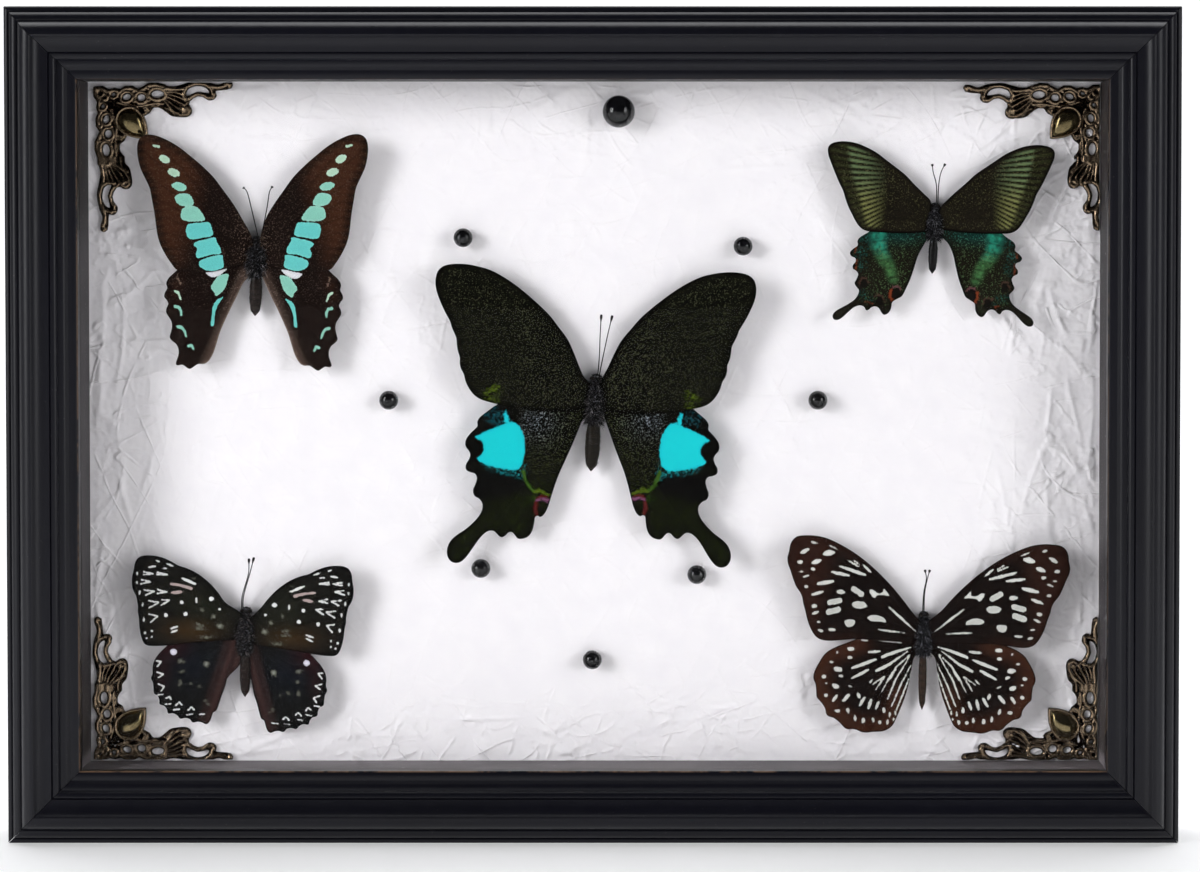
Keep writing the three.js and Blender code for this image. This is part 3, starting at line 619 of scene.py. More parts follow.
TURQUOISE = (srgb(30, 196, 206), srgb(26, 208, 214))
DEEP_TURQUOISE = (srgb(20, 120, 126), srgb(24, 150, 152))
DIM_TURQUOISE = (srgb(22, 84, 96), srgb(26, 104, 116))
PARIS_GREEN = (srgb(52, 84, 24), srgb(74, 108, 32))
LEAF_GREEN = (srgb(74, 92, 18), srgb(92, 112, 26))
MAUVE = (srgb(120, 72, 104), srgb(140, 88, 120))
DARK_RED = (srgb(82, 26, 26), srgb(92, 32, 28))

PARIS_FORE_MARKS = [
    (stroke([(30.4, 2.7), (33.2, 1.6)], 1.0, 0.5), LEAF_GREEN, DUSTY),
    (stroke([(30.5, -0.6), (33.0, 0.0)], 0.6, 0.4), LEAF_GREEN, DUSTY),
    (stroke([(31.0, 2.2), (33, 1.7)], 0.3, 0.2), LEAF_GREEN, SOFT),
]
PARIS_HIND_MARKS = [
    (patch([(36.5, -12.3), (35, -11.2), (30, -9), (27.5, -7.9), (26, -7.4), (24.5, -7.6), (23.2, -8.8),
            (22.3, -10.3), (21.6, -12.5), (21.3, -15), (21.3, -17.5), (21.8, -19.5), (22.3, -21),
            (23.6, -22), (25, -22.3), (28, -21.8), (31, -21.3), (33, -20.7), (36, -19), (35, -18),
            (34, -16.5), (34, -15), (34.7, -13.5), (35.5, -13)]),
     TURQUOISE, BRUSHED),
    (patch([(22, -19.5), (29, -20.5), (34, -19.5), (33, -21.6), (27.5, -23.0), (24, -23.8), (21.6, -24.6),
            (21, -22)]),
     DEEP_TURQUOISE, DUSTY),
    (stroke([(27.0, -7.2), (27.6, -4.4)], 0.8, 0.35), TURQUOISE, SOFT),
    (stroke([(29.2, -6.8), (30.4, -4.2)], 1.3, 0.8), DIM_TURQUOISE, DUSTY),
    (stroke([(32.2, -6.8), (33.0, -5.6)], 0.8, 0.5), DIM_TURQUOISE, DUSTY),
    (stroke([(21.6, -22.5), (21, -25), (19.6, -27.4), (18, -28.7)], 0.55, 0.4), PARIS_GREEN, SOFT),
    (stroke([(18, -28.7), (16.5, -28.3), (15, -29), (13.5, -29.8)], 0.5, 0.35), LEAF_GREEN, SOFT),
    (stroke([(13.9, -31.3), (15.5, -30.7), (17.1, -31.2)], 0.55, 0.4), MAUVE, SOFT),
    (stroke([(14, -30.4), (15.6, -30.1), (17.2, -30.7)], 0.4), DARK_RED, SOFT),
    (stroke([(17.4, -32.2), (17.6, -34), (17.2, -35.6)], 0.6, 0.45), DARK_RED, SOFT),
    (spot(18, -31, 1.0, 0.6), PARIS_GREEN, DUSTY),
]

AQUA = (srgb(112, 204, 196), srgb(102, 198, 194))
SEA_GREEN = (srgb(146, 204, 186), srgb(136, 200, 182))
PALE_GREEN = (srgb(184, 214, 192), srgb(172, 206, 182))
PEARL = (srgb(214, 214, 218), srgb(226, 226, 230))

BLUEBOTTLE_FORE_MARKS = [
    (stroke([(29.6, 33.3), (31.2, 33.7)], 0.42, 0.3), PALE_GREEN, CRISP),
    (spot(27.8, 29.5, 1.8, 1.15, 28), PALE_GREEN, CRISP),
    (spot(25.1, 25.4, 1.9, 1.2, 22), PALE_GREEN, CRISP),
    (spot(23.4, 21.1, 2.3, 1.25, 14), SEA_GREEN, CRISP),
    (patch([(24.8, 18), (22.5, 19), (20.5, 18.8), (19, 16.3), (19.3, 15.4), (22.5, 15.2), (24, 16)]),
     SEA_GREEN, CRISP),
    (patch([(23, 12.5), (22.2, 14.5), (18.5, 15), (16.5, 13), (15.5, 11), (17.5, 10.5), (21, 10.5),
            (22.7, 11.3)]),
     SEA_GREEN, CRISP),
    (patch([(21.4, 8), (20.8, 9.5), (17, 10), (14.3, 10), (13.5, 8), (13.2, 6.3), (16, 5.5), (20, 5),
            (21, 5.8)]),
     AQUA, CRISP),
    (patch([(19.2, 3.3), (18.2, 4.2), (15, 5), (12.5, 5.5), (12, 4), (11, 2.3), (10.8, 0.7), (14, 0.2),
            (16.5, -0.6), (17.9, -0.9), (18.5, 0.3), (18, 2)]), AQUA, CRISP),
    (patch([(17.5, -2.8), (17.2, -1.8), (14, -0.5), (10.3, 0), (10.2, -1.5), (10, -3.5), (12, -4.5),
            (14.5, -4.8), (16.5, -4)]), AQUA, CRISP),
]
BLUEBOTTLE_HIND_MARKS = [
    (patch([(15.6, -5.2), (14.6, -6.3), (13, -6.7), (11, -5.9), (9, -4), (10.5, -4.0), (13, -4.6)]),
     PEARL, CRISP),
    (patch([(8.7, -5.8), (9, -8), (10, -10.5), (12.5, -12.5), (13, -11.2), (14, -10), (13, -8),
            (11.5, -6.3)]),
     SEA_GREEN, CRISP),
    (patch([(10.3, -12.8), (12.5, -14), (13.3, -15.5), (13.8, -19), (14, -21.8), (13.2, -21.5), (12.8, -18),
            (11.7, -15)]), AQUA, CRISP),
    (stroke([(24.8, -11), (23.9, -11.5), (23.2, -13.4)], 0.42, 0.3), PALE_GREEN, CRISP),
    (stroke([(24.9, -15.7), (23.7, -15.9), (23.1, -17), (23.1, -18.3)], 0.45, 0.3), SEA_GREEN, CRISP),
    (stroke([(24, -21.9), (23, -22), (22, -23.3), (21.6, -24.8)], 0.5, 0.3), SEA_GREEN, CRISP),
    (stroke([(20.9, -27.9), (20, -27.5), (19.4, -28.8)], 0.42, 0.3), SEA_GREEN, CRISP),
    (stroke([(24.2, -6.3), (23.2, -9)], 0.2), (srgb(120, 100, 88), srgb(130, 110, 98)), SOFT),
]

DEEP_TEAL = (srgb(18, 56, 50), srgb(34, 92, 84))
BROWN_PINK = (srgb(66, 46, 38), srgb(96, 74, 66))
RUSSET = (srgb(104, 46, 26), srgb(150, 66, 34))
LILAC = (srgb(92, 58, 60), srgb(124, 86, 94))
NEAR_BLACK = (srgb(13, 11, 9), srgb(16, 13, 11))
PEACOCK_HIND_MARKS = [
    (spot(22.9, -5.6, 1.9, 1.5, 20), DEEP_TEAL, DUSTY),
    (spot(23.9, -9.9, 2.0, 1.6, -15), DEEP_TEAL, DUSTY),
    (spot(23.4, -14, 1.5, 1.7), DEEP_TEAL, DUSTY),
    (spot(20.9, -23.6, 2.0, 1.2, 30), DEEP_TEAL, DUSTY),
    (spot(22.0, -19.6, 1.2, 1.5), NEAR_BLACK, SOFT),
    (stroke([(23.6, -20.0), (22.9, -18.2), (21.6, -18.0), (20.9, -19.4)], 0.32), BROWN_PINK, SOFT),
    (spot(16.8, -24.6, 1.2, 1.8, -10), NEAR_BLACK, SOFT),
    (stroke([(18.3, -23.4), (17.4, -22.9), (16.2, -23.2), (15.6, -24.8)], 0.4, 0.3), BROWN_PINK, SOFT),
    (spot(12.0, -22.0, 1.5, 2.1, 20), NEAR_BLACK, SOFT),
    (stroke([(13.6, -21.4), (13.7, -23.2), (12.8, -24.4)], 0.55, 0.45), RUSSET, SOFT),
    (stroke([(10.7, -20.9), (11.6, -20.0), (12.8, -20.2)], 0.4), LILAC, SOFT),
    (stroke([(25.2, -8.2), (25.6, -10.6)], 0.2), RUSSET, SOFT),
    (stroke([(24.9, -12.6), (24.9, -15.6)], 0.22), RUSSET, SOFT),
    (stroke([(19.2, -25.6), (21.2, -25.2)], 0.2), RUSSET, SOFT),
]
PEACOCK_BAND = stroke([(18.9, -3.6), (18.4, -8), (16.9, -11), (14.8, -13.8), (13.2, -17.6)], 2.3, 1.1)

WHITE = (srgb(226, 226, 224), srgb(240, 240, 238))
FAINT = (srgb(84, 84, 74), srgb(142, 144, 132))
BLUSH = (srgb(180, 160, 156), srgb(206, 190, 186))
CONSTABLE_FORE_MARKS = [(spot(*place), WHITE, CRISP) for place in [
    (9, 10.5, 0.78, 0.66), (13.6, 9.9, 0.36, 0.8), (18, 9, 0.56), (6.3, 7.4, 0.42), (16.7, 5.5, 0.66, 0.6),
    (22.7, 4.9, 0.62), (32, 17.4, 0.3, 0.5), (32, 14.7, 0.3, 0.5), (31, 11.5, 0.3, 0.6),
    (29.9, 7.8, 0.32, 0.62), (29.4, 3.2, 0.34, 0.66), (28.8, -0.8, 0.4), (28.2, -2.5, 0.35),
    (26.7, -0.2, 0.36), (26.7, -2, 0.34)]]
CONSTABLE_FORE_MARKS += [(spot(*place), FAINT, SOFT) for place in [
    (11.6, 7, 0.7, 0.5, 30), (8, 5, 0.7), (6, 2.2, 1.1, 0.8), (12.5, 2.4, 1.3, 0.45, 10),
    (12.5, 1.2, 1.2, 0.4), (10, -1.5, 1.5, 0.5), (14.5, 16.5, 0.5, 0.3)]]
CONSTABLE_FORE_MARKS += [(stroke([start, end], wide, slim=0.5), WHITE, CRISP) for start, end, wide in [
    ((19.0, 1.5), (21.2, 0.7), 0.36), ((19.0, 0.4), (21.0, -0.5), 0.32), ((21, 20), (23.1, 20.8), 0.32),
    ((22.8, 19.3), (24.6, 19.3), 0.25), ((25.3, 21.3), (26.7, 21.7), 0.25),
    ((26.4, 19.8), (28.6, 19.5), 0.34), ((13.8, 14.7), (18.2, 16.5), 0.42)]]
CONSTABLE_FORE_MARKS += [
    (stroke([(15.3, 13.4), (18.2, 14.2), (21.5, 14.6)], 0.5, 0.35), BLUSH, CRISP),
    (spot(19.5, 12.1, 1.7, 0.5, -8), BLUSH, CRISP),
]
CONSTABLE_FORE_MARKS += [(shape, WHITE, CRISP) for shape in chevrons([
    ((22.8, 17.4), (25.8, 18), (26, 17.3)), ((27.2, 17.5), (30, 18), (30, 17.1)),
    ((27.8, 15), (30.5, 15.5), (30.7, 14.2)), ((22.8, 12), (25.5, 12.7), (25.5, 11.5)),
    ((26.6, 12.1), (29.7, 12.4), (29, 10.8)), ((21.8, 9.5), (24, 9.6), (24.2, 7.9)),
    ((25, 8.7), (28, 9.1), (27.8, 7)), ((25.2, 4.5), (27.8, 5), (27.2, 2.5))], 0.24)]
LILAC_WHITE = (srgb(206, 200, 214), srgb(238, 234, 244))
CONSTABLE_HIND_MARKS = [(spot(19.2, -7.2, 1.05, 0.95), LILAC_WHITE, CRISP)]
CONSTABLE_HIND_MARKS += [(spot(*place), FAINT, SOFT) for place in [
    (16.8, -9.9, 1.1, 0.6, 10), (9, -10.5, 0.9, 1.1), (16.5, -13.2, 0.7, 0.5), (16.8, -16.8, 0.5, 0.9),
    (13.6, -16.7, 0.55, 0.4), (11, -17.5, 0.5, 0.35), (8.7, -22, 0.5, 0.4), (7.9, -22.9, 0.4, 0.3)]]
CONSTABLE_HIND_MARKS += [(shape, WHITE, CRISP) for shape in chevrons([
    ((22.9, -10.4), (24.3, -10.2), (24.0, -11.9)), ((22.0, -14.2), (23.9, -13.7), (23.4, -15.2)),
    ((21.5, -18.0), (23.4, -17.3), (22.5, -19.4)), ((19.7, -21.1), (19.2, -22), (20.9, -21.7)),
    ((16.7, -22.7), (15.9, -23.5), (17.8, -23.7)), ((13, -24), (12.1, -24.8), (13.9, -25))], 0.24)]
CONSTABLE_HIND_MARKS += [(stroke([(u - 0.9, v + 0.15), (u + 0.9, v - 0.1)], 0.2), WHITE, CRISP) for u, v in [
    (22.7, -20.6), (20.2, -23.4), (17.5, -25), (13.5, -26.4), (9.6, -26.2)]]

TIGER_WHITE = (srgb(214, 214, 208), srgb(232, 232, 228))
TIGER_GREY = (srgb(208, 208, 202), srgb(200, 200, 194))
TIGER_FORE_MARKS = [(spot(*place), TIGER_WHITE, CRISP) for place in [
    (34.5, 29.2, 0.95, 0.36, 20), (38.8, 23.2, 0.85, 0.55), (38.4, 20.2, 0.7, 0.26),
    (36.8, 15.6, 0.7, 0.48, 10), (34.8, 21, 0.75, 0.52), (34.2, 9.7, 0.95, 0.6), (32.6, 4.7, 0.7, 0.32),
    (32, 2, 0.85, 0.42, 20), (28.4, 2.4, 1.1, 0.42)]]
TIGER_FORE_MARKS += [(stroke([start, end], *wide, slim=0.5), TIGER_WHITE, CRISP) for start, end, *wide in [
    ((38.5, 26), (36.3, 27.2), 0.6), ((38, 18.5), (36, 19.1), 0.35), ((35, 23), (32.5, 23.8), 0.7),
    ((30, 28.5), (27.5, 27.3), 0.25), ((33.4, 16.5), (28.5, 17.3), 0.65), ((29, 20.2), (23.5, 19.1), 0.5),
    ((26.5, 22), (18.3, 19.3), 0.5), ((24, 23.8), (20.5, 21.9), 0.25), ((22.5, 24), (20.3, 22.5), 0.2),
    ((19.2, 22.4), (16.8, 20.2), 0.35), ((35, 13.1), (31.6, 14.1), 0.5), ((34.7, 7.2), (32.8, 7.9), 0.45),
    ((11, 9.5), (2.5, 2), 0.42, 0.22), ((14.2, 2.5), (6, 1.6), 0.34, 0.2)]]
TIGER_FORE_MARKS += [
    (patch([(31.9, 25.7), (30, 27), (28, 26.3), (29.9, 25.2)]), TIGER_WHITE, CRISP),
    (patch([(17.1, 14.9), (15.9, 14.7), (14.3, 13.7), (12.9, 14.2), (13.1, 15.5), (12.1, 14.6), (11, 13),
            (12.6, 13.2), (14.8, 13), (15.5, 12.3), (16.4, 13)]), TIGER_WHITE, CRISP),
    (spot(26, 14.1, 1.25, 0.68, 5), TIGER_GREY, CRISP),
    (stroke([(22, 15), (19.6, 13.4)], 0.85), TIGER_GREY, CRISP),
    (stroke([(29.3, 10.8), (26.4, 11.4)], 0.85), TIGER_GREY, CRISP),
    (spot(20.2, 10.1, 2.3, 1.15, 4), TIGER_GREY, CRISP),
    (stroke([(29.6, 7.8), (26.8, 8.6)], 0.9), TIGER_GREY, CRISP),
    (patch([(17.6, 6.2), (16.5, 6.9), (14.2, 6.9), (12.3, 5.9), (11.8, 4.8), (14, 5.1), (16.5, 5.2)]),
     TIGER_GREY, CRISP),
    (patch([(24.6, 5.2), (21.5, 5.3), (22, 3.6), (24, 3.4)]), TIGER_GREY, CRISP),
]
TIGER_HIND_MARKS = [(spot(*place), TIGER_WHITE, CRISP) for place in [
    (18.2, -0.8, 1.1, 0.4), (22.5, -3.6, 1.15, 0.62), (26.7, -4.7, 0.4), (22.8, -6.2, 0.8, 0.5),
    (28.5, -7.7, 0.65, 0.34), (26.4, -9.9, 1.35, 0.8, 10), (30.7, -12.2, 0.75, 0.6),
    (25.4, -12, 0.72, 0.42, 20), (30, -14.2, 0.42, 0.3), (27, -15.2, 1.2, 0.72, 20),
    (22.7, -15.1, 0.75, 0.28, 25), (30, -18, 0.66, 0.55), (19.8, -18, 0.5, 1.0, -15),
    (11.9, -22.5, 0.5, 0.9), (10, -23.8, 0.35, 0.8), (8.3, -23.2, 0.3, 0.8), (26.4, -22.8, 0.8, 0.5),
    (23.1, -22.6, 0.5, 0.9, -15), (20.8, -25, 0.45, 0.9, -10), (18.3, -25.8, 0.55, 0.8),
    (15.2, -25.5, 0.42, 0.8), (13.1, -26.3, 0.55, 0.6), (10.7, -26.2, 0.45, 0.75), (8.8, -25.3, 0.32, 0.5)]]
TIGER_HIND_MARKS += [(stroke(line, *wide, slim=0.35), TIGER_WHITE, CRISP) for line, *wide in [
    ([(14, -0.6), (7, -1.5)], 0.52, 0.25), ([(17, -4.5), (13.5, -4.3)], 0.42),
    ([(12.8, -6), (8, -4.2), (3.8, -3)], 0.62, 0.25), ([(22, -9.5), (18.4, -8.2), (14.8, -6.8)], 0.52),
    ([(14.5, -10.3), (10.5, -8.3), (5, -4.3)], 0.62, 0.2), ([(22, -12.7), (17, -10)], 0.38, 0.5),
    ([(15.5, -14.5), (12, -12)], 0.24), ([(14.6, -16.3), (11.8, -12)], 0.26),
    ([(16.8, -14.3), (15.5, -13)], 0.24), ([(12.7, -16.8), (10.6, -12.6), (8.2, -9), (4.2, -5.3)], 0.24),
    ([(10.6, -13), (8.4, -9.6)], 0.5, 0.3), ([(10.8, -19), (8.5, -13), (4.2, -5.8)], 0.32, 0.2),
    ([(9.6, -21.3), (6.8, -14.5), (3.5, -8)], 0.32, 0.2), ([(8, -22.3), (5.5, -16), (3, -9)], 0.3, 0.18),
    ([(27.8, -19.8), (26.6, -18)], 0.48),
    ([(24.6, -19.7), (22.9, -17.8)], 0.58), ([(19.4, -21), (18, -18.6)], 0.48),
    ([(16.7, -22), (16, -19.3)], 0.5), ([(14.4, -22), (13.5, -19.8)], 0.42)]]

# ---- Ground colours of the wings -----------------------------------------------------------------


def blend(first, second, amount):
    amount = np.asarray(amount)[..., None]
    return first * (1.0 - amount) + second * amount


def even(color, like):
    return np.broadcast_to(np.asarray(color, float), (*np.shape(like), 3))


def glow(u, v, u0, v0, reach_u, reach_v):
    return np.exp(-((u - u0) / reach_u) ** 2 - ((v - v0) / reach_v) ** 2)


def paris_ground(u, v, edge, fore):
    ground = blend(even(srgb(10, 9, 6), u), srgb(6, 5, 4), smoothstep(1.0, 0.2, edge))
    if fore:
        lines = 0.5 + 0.5 * np.cos((v - 15.0) / (u + 14.0) * 92.0)
        ground = blend(ground, srgb(18, 18, 10), 0.6 * lines * smoothstep(16, 24, u))
        amount = 0.8 * smoothstep(0.5, 2.5, edge) * (0.6 + 0.4 * smoothstep(28, 16, u))
        return ground, even(srgb(88, 90, 66), u), amount
    sunk = smoothstep(18.5, 21, u) * smoothstep(-21, -23.5, v) * smoothstep(-30.5, -27, v + 0.25 * u - 5)
    ground = blend(ground, srgb(9, 8, 7), sunk)
    amount = 0.42 + 0.5 * glow(u, v, 17.5, -7.5, 7, 6)
    amount *= (1 - smoothstep(21.5, 24, u) * smoothstep(-24, -20, v)) * (1 - sunk)
    dust = blend(even(srgb(106, 112, 70), u), srgb(150, 158, 168), glow(u, v, 18, -7, 7, 6))
    dust = blend(dust, srgb(76, 92, 30), smoothstep(-23, -27, v))
    return ground, dust, np.clip(amount, 0, 1) * smoothstep(0.3, 1.2, edge)


def bluebottle_ground(u, v, edge, fore):
    outer = smoothstep(18, 29, u + 0.25 * v)
    ground = blend(even(srgb(22, 13, 10), u), srgb(58, 32, 20), outer * smoothstep(0.4, 3.5, edge))
    ground = blend(ground, srgb(22, 14, 11), smoothstep(0.9, 0.2, edge))
    if fore:
        grain = 0.5 + 0.5 * np.cos(v * 2.6 + u * 0.4)
        ground = blend(ground, srgb(70, 43, 26), 0.35 * grain * outer)
        return ground, even(srgb(150, 128, 112), u), 0.12 + 0.2 * smoothstep(9, 4, u)
    fold = smoothstep(1.2, -1.8, u - 8.5 - (-v - 12.0) * 0.42) * smoothstep(2, 5, -v)
    ground = blend(ground, srgb(78, 62, 54), 0.75 * fold)
    ground = blend(ground, srgb(150, 132, 122), 0.7 * fold * smoothstep(0.6, 0.0, edge))
    return ground, even(srgb(150, 130, 118), u), 0.12 + 0.3 * fold


def peacock_ground(u, v, edge, fore):
    ground = blend(even(srgb(26, 22, 16), u), srgb(12, 10, 8), smoothstep(0.9, 0.2, edge))
    if fore:
        fan = (v - 15.0) / (u + 3.0)
        streaks = smoothstep(-0.45, 0.6, np.cos(2 * math.pi * fan / 0.058))
        outer = 1.3 + np.interp(v, [-2, 0, 5, 14, 22, 27], [22.6, 22.9, 24.4, 27.4, 29.2, 29.0])
        width = np.interp(v, [-2, 0, 6, 14, 24], [4.5, 5.0, 7.0, 9.0, 9.0])
        band = smoothstep(outer - 1.35 * width, outer - 0.3 * width, u)
        band *= smoothstep(outer + 0.8, outer - 1.6, u)
        band *= smoothstep(0.9, 2.0, edge)
        gold = smoothstep(15.0, 5.0, v)
        shine = blend(even(srgb(112, 134, 92), u), srgb(140, 142, 84), gold)
        ground = blend(ground, shine, np.clip(0.75 * band * streaks, 0, 1))
        rim = smoothstep(outer - 1.0, outer + 0.3, u) * smoothstep(0.5, 1.1, edge)
        ground = blend(ground, srgb(52, 56, 30), 0.6 * rim * streaks)
        blank = glow(u, v, 12.5, 2.5, 5.5, 2.8)
        amount = (0.36 + 0.2 * band) * (1 - 0.9 * blank) * smoothstep(0.4, 1.6, edge)
        return ground, even(srgb(104, 102, 66), u), amount
    ground = blend(ground, srgb(16, 54, 48), 0.7 * glow(u, v, 13, -3.5, 7, 3.4))
    band = smoothstep(-1.4, 1.3, PEACOCK_BAND(u, v))
    hue = blend(even(srgb(72, 124, 72), u), srgb(40, 146, 120), smoothstep(-13, -7, v))
    rays = smoothstep(-0.97, -0.6, np.cos((v + 3.5) * 2.1 + 0.5 * u))
    ground = blend(ground, hue, band * (0.42 + 0.36 * rays) * (0.8 + 0.5 * value_noise(u, v, 0.7, 91)))
    green = blend(even(srgb(92, 120, 76), u), srgb(44, 128, 114), smoothstep(-9, -3, v))
    amount = 0.5 * smoothstep(0.3, 1.4, edge) * (0.35 + 0.65 * smoothstep(21, 16.5, u + 0.3 * (v + 8)))
    return ground, green, amount


def constable_ground(u, v, edge, fore):
    ground = blend(even(srgb(18, 17, 16), u), srgb(10, 9, 10), smoothstep(1.0, 0.2, edge))
    if fore:
        ground = blend(ground, srgb(34, 36, 26), 0.5 * glow(u, v, 12, 8, 9, 6))
        ground = blend(ground, srgb(60, 42, 22), 0.8 * glow(u, v, 15, 0.5, 8, 3.2))
        return ground, even(srgb(84, 78, 60), u), 0.25 * smoothstep(0.4, 1.5, edge)
    ground = blend(ground, srgb(14, 17, 25), 0.8 * glow(u, v, 14, -11, 8, 7))
    red = 0.75 * glow(u, v, 20, -5.0, 4.5, 3.8) + 0.4 * glow(u, v, 22, -13, 2.0, 5)
    ground = blend(ground, srgb(50, 22, 25), red)
    fold = smoothstep(1.8, -1.8, u - 4.6 - (-v - 8.0) * 0.27)
    pleats = 0.75 + 0.25 * np.cos((u + 0.27 * v) * 2.3)
    ground = blend(ground, srgb(66, 44, 41), 0.85 * fold * pleats * smoothstep(0.0, 0.8, edge))
    return ground, even(srgb(96, 102, 108), u), 0.08 + 0.12 * glow(u, v, 9, -9, 6, 5)


def tiger_ground(u, v, edge, fore):
    ground = even(srgb(15, 9, 8), u)
    if fore:
        ground = blend(ground, srgb(47, 25, 18), smoothstep(30, 38, u + 0.2 * v) * 0.85)
        ground = blend(ground, srgb(42, 23, 17), 0.6 * smoothstep(4, 0.5, edge) * smoothstep(16, 24, u))
    else:
        rust = smoothstep(7.5, 1.0, edge) * smoothstep(14, 20, np.hypot(u, v))
        ground = blend(ground, srgb(62, 34, 22), rust)
    ground = blend(ground, srgb(24, 14, 11), smoothstep(0.5, 0.15, edge))
    return ground, even(srgb(120, 92, 76), u), 0.12 * np.ones_like(u)


# ---- The five butterflies ------------------------------------------------------------------------
# place and lean set the insect on the paper. set holds, for the side that differs, the sweep in degrees and
# the shifts outwards and headwards. body is head (at, radius), thorax (front, back, radius), abdomen (tip,
# radius) and the lean of the body alone. The colours are those of the abdomen and of the hair.

SPECIES = {
    "paris": {
        "place": (0.3, 7.1), "lean": 1.5, "ground": paris_ground,
        "marks": (PARIS_FORE_MARKS, PARIS_HIND_MARKS),
        "set": {("fore", 1): (-0.6, -1.6, 0), ("hind", 1): (-0.7, -0.8, 1.2)},
        "body": ((6.4, 1.7), (5.4, -7, 2.9), (-22.3, 2.3), 2),
        "antennae": ([(0.5, 6.8), (0.9, 13), (1, 20), (1.2, 26.3)],
                     [(0.9, 6.8), (2, 13), (3.3, 20), (4.6, 26.1)]),
        "abdomen": srgb(40, 33, 24), "hair": srgb(34, 32, 32),
    },
    "bluebottle": {
        "place": (-103.8, 51.6), "lean": 0.0, "ground": bluebottle_ground,
        "marks": (BLUEBOTTLE_FORE_MARKS, BLUEBOTTLE_HIND_MARKS),
        "set": {("fore", 1): (0.2, -1.3, 0), ("hind", 1): (-0.5, -1.3, -0.4)},
        "body": ((4.6, 1.5), (3.8, -6, 3.2), (-18.8, 1.9), 2),
        "antennae": ([(0.6, 4.8), (-1.6, 14.5), (-2.8, 19.3), (-4, 20.9)],
                     [(1.2, 4.8), (3.2, 14.5), (4, 19.3), (5, 21.2)]),
        "abdomen": srgb(52, 42, 38), "hair": srgb(38, 36, 37),
    },
    "peacock": {
        "place": (104.7, 61.8), "lean": 1.3, "ground": peacock_ground,
        "marks": ([], PEACOCK_HIND_MARKS),
        "set": {("fore", -1): (0.8, -2.3, -0.6), ("hind", -1): (2.6, -1.6, -0.6)},
        "body": ((4.8, 1.3), (4, -5, 2.5), (-16, 1.4), 1),
        "antennae": ([(0.5, 5), (0.3, 11.3), (-0.8, 15.3), (-1.2, 17.8)],
                     [(0.9, 5), (1, 11.3), (1.6, 15.3), (2.8, 18)]),
        "abdomen": srgb(26, 24, 24), "hair": srgb(44, 44, 46),
    },
    "constable": {
        "place": (-107.7, -66.5), "lean": 1.0, "ground": constable_ground,
        "marks": (CONSTABLE_FORE_MARKS, CONSTABLE_HIND_MARKS),
        "set": {("fore", -1): (1.8, 1.9, 1.3), ("hind", -1): (1.9, 2.6, 2)},
        "body": ((8.2, 1.5), (7.2, -4.5, 2.9), (-18.5, 1.7), 0),
        "antennae": ([(-1.4, 8.6), (-1.2, 13), (0.6, 19.7), (0.8, 24.6)],
                     [(-1, 8.6), (-0.8, 13), (1, 19.7), (2.3, 25)]),
        "abdomen": srgb(48, 34, 30), "hair": srgb(36, 32, 32),
    },
    "tiger": {
        "place": (101.6, -66.5), "lean": 1.0, "ground": tiger_ground,
        "marks": (TIGER_FORE_MARKS, TIGER_HIND_MARKS),
        "set": {("fore", 1): (-2.6, 0.7, 0.2), ("hind", 1): (0, 0.7, 0.3)},
        "body": ((7, 1.3), (6.2, -5, 2.6), (-22.6, 1.25), 0),
        "antennae": ([(-0.4, 7.2), (-0.2, 13.8), (0.5, 18.2), (0, 21.1)],
                     [(0, 7.2), (0.1, 13.8), (0.8, 18.2), (1.5, 21.1)]),
        "abdomen": srgb(66, 46, 34), "hair": srgb(34, 34, 37),
    },
}
WING_THICKNESS = 0.3
SKIN_TOP = 0.5 * WING_THICKNESS + 0.07
SKIN_LOW = 0.5 * WING_THICKNESS - 0.05
WING_STEP = 0.6  # forewing roots lie over the hindwings
WING_RISE = 4.0  # degrees up from the body to the tips
HINGE_RISE = 0.3  # of the thorax's radius over its middle
BODY_FLATNESS = 0.95
LARGE_WING_SPACING = 0.43  # between the points of a wing's mesh
SMALL_WING_SPACING = 0.385


class Setting:
    """Where a butterfly, or one of its wings, lies."""

    def __init__(self, kind, pair=None, side=1):
        self.kind, self.side = kind, side
        radius = kind["body"][1][2]
        self.middle = PAPER_LEVEL + REST_GAP + radius * BODY_FLATNESS
        self.lift = radius * HINGE_RISE + (WING_STEP if pair == "fore" else 0.0)
        self.sweep, self.outwards, self.headwards = kind["set"].get((pair, side), (0, 0, 0))

    def body(self, x, y, z):
        """Picture points from the insect's own: x right, y headwards, z up from the paper."""
        x, y = turned(x, y, -self.kind["lean"])
        return np.stack([x + self.kind["place"][0], y + self.kind["place"][1], z + self.middle], axis=-1)

    def wing(self, u, v, t):
        """Picture points from the wing's own: u out, v headwards, t off the wing."""
        x, y = turned(self.side * (u + self.outwards), v + self.headwards, self.side * self.sweep)
        rise = math.radians(WING_RISE)
        flat = x * math.cos(rise) - self.side * t * math.sin(rise)
        return self.body(flat, y, self.side * x * math.sin(rise) + t * math.cos(rise) + self.lift)

    def unwing(self, points):
        """The wing's own u, v and t from picture points."""
        place_x, place_y = self.kind["place"]
        x, y = turned(points[:, 0] - place_x, points[:, 1] - place_y, self.kind["lean"])
        z = points[:, 2] - self.middle - self.lift
        rise = math.radians(WING_RISE)
        out = self.side * x * math.cos(rise) + z * math.sin(rise)
        t = -self.side * x * math.sin(rise) + z * math.cos(rise)
        x, y = turned(self.side * out, y, -self.side * self.sweep)
        return self.side * x - self.outwards, y - self.headwards, t


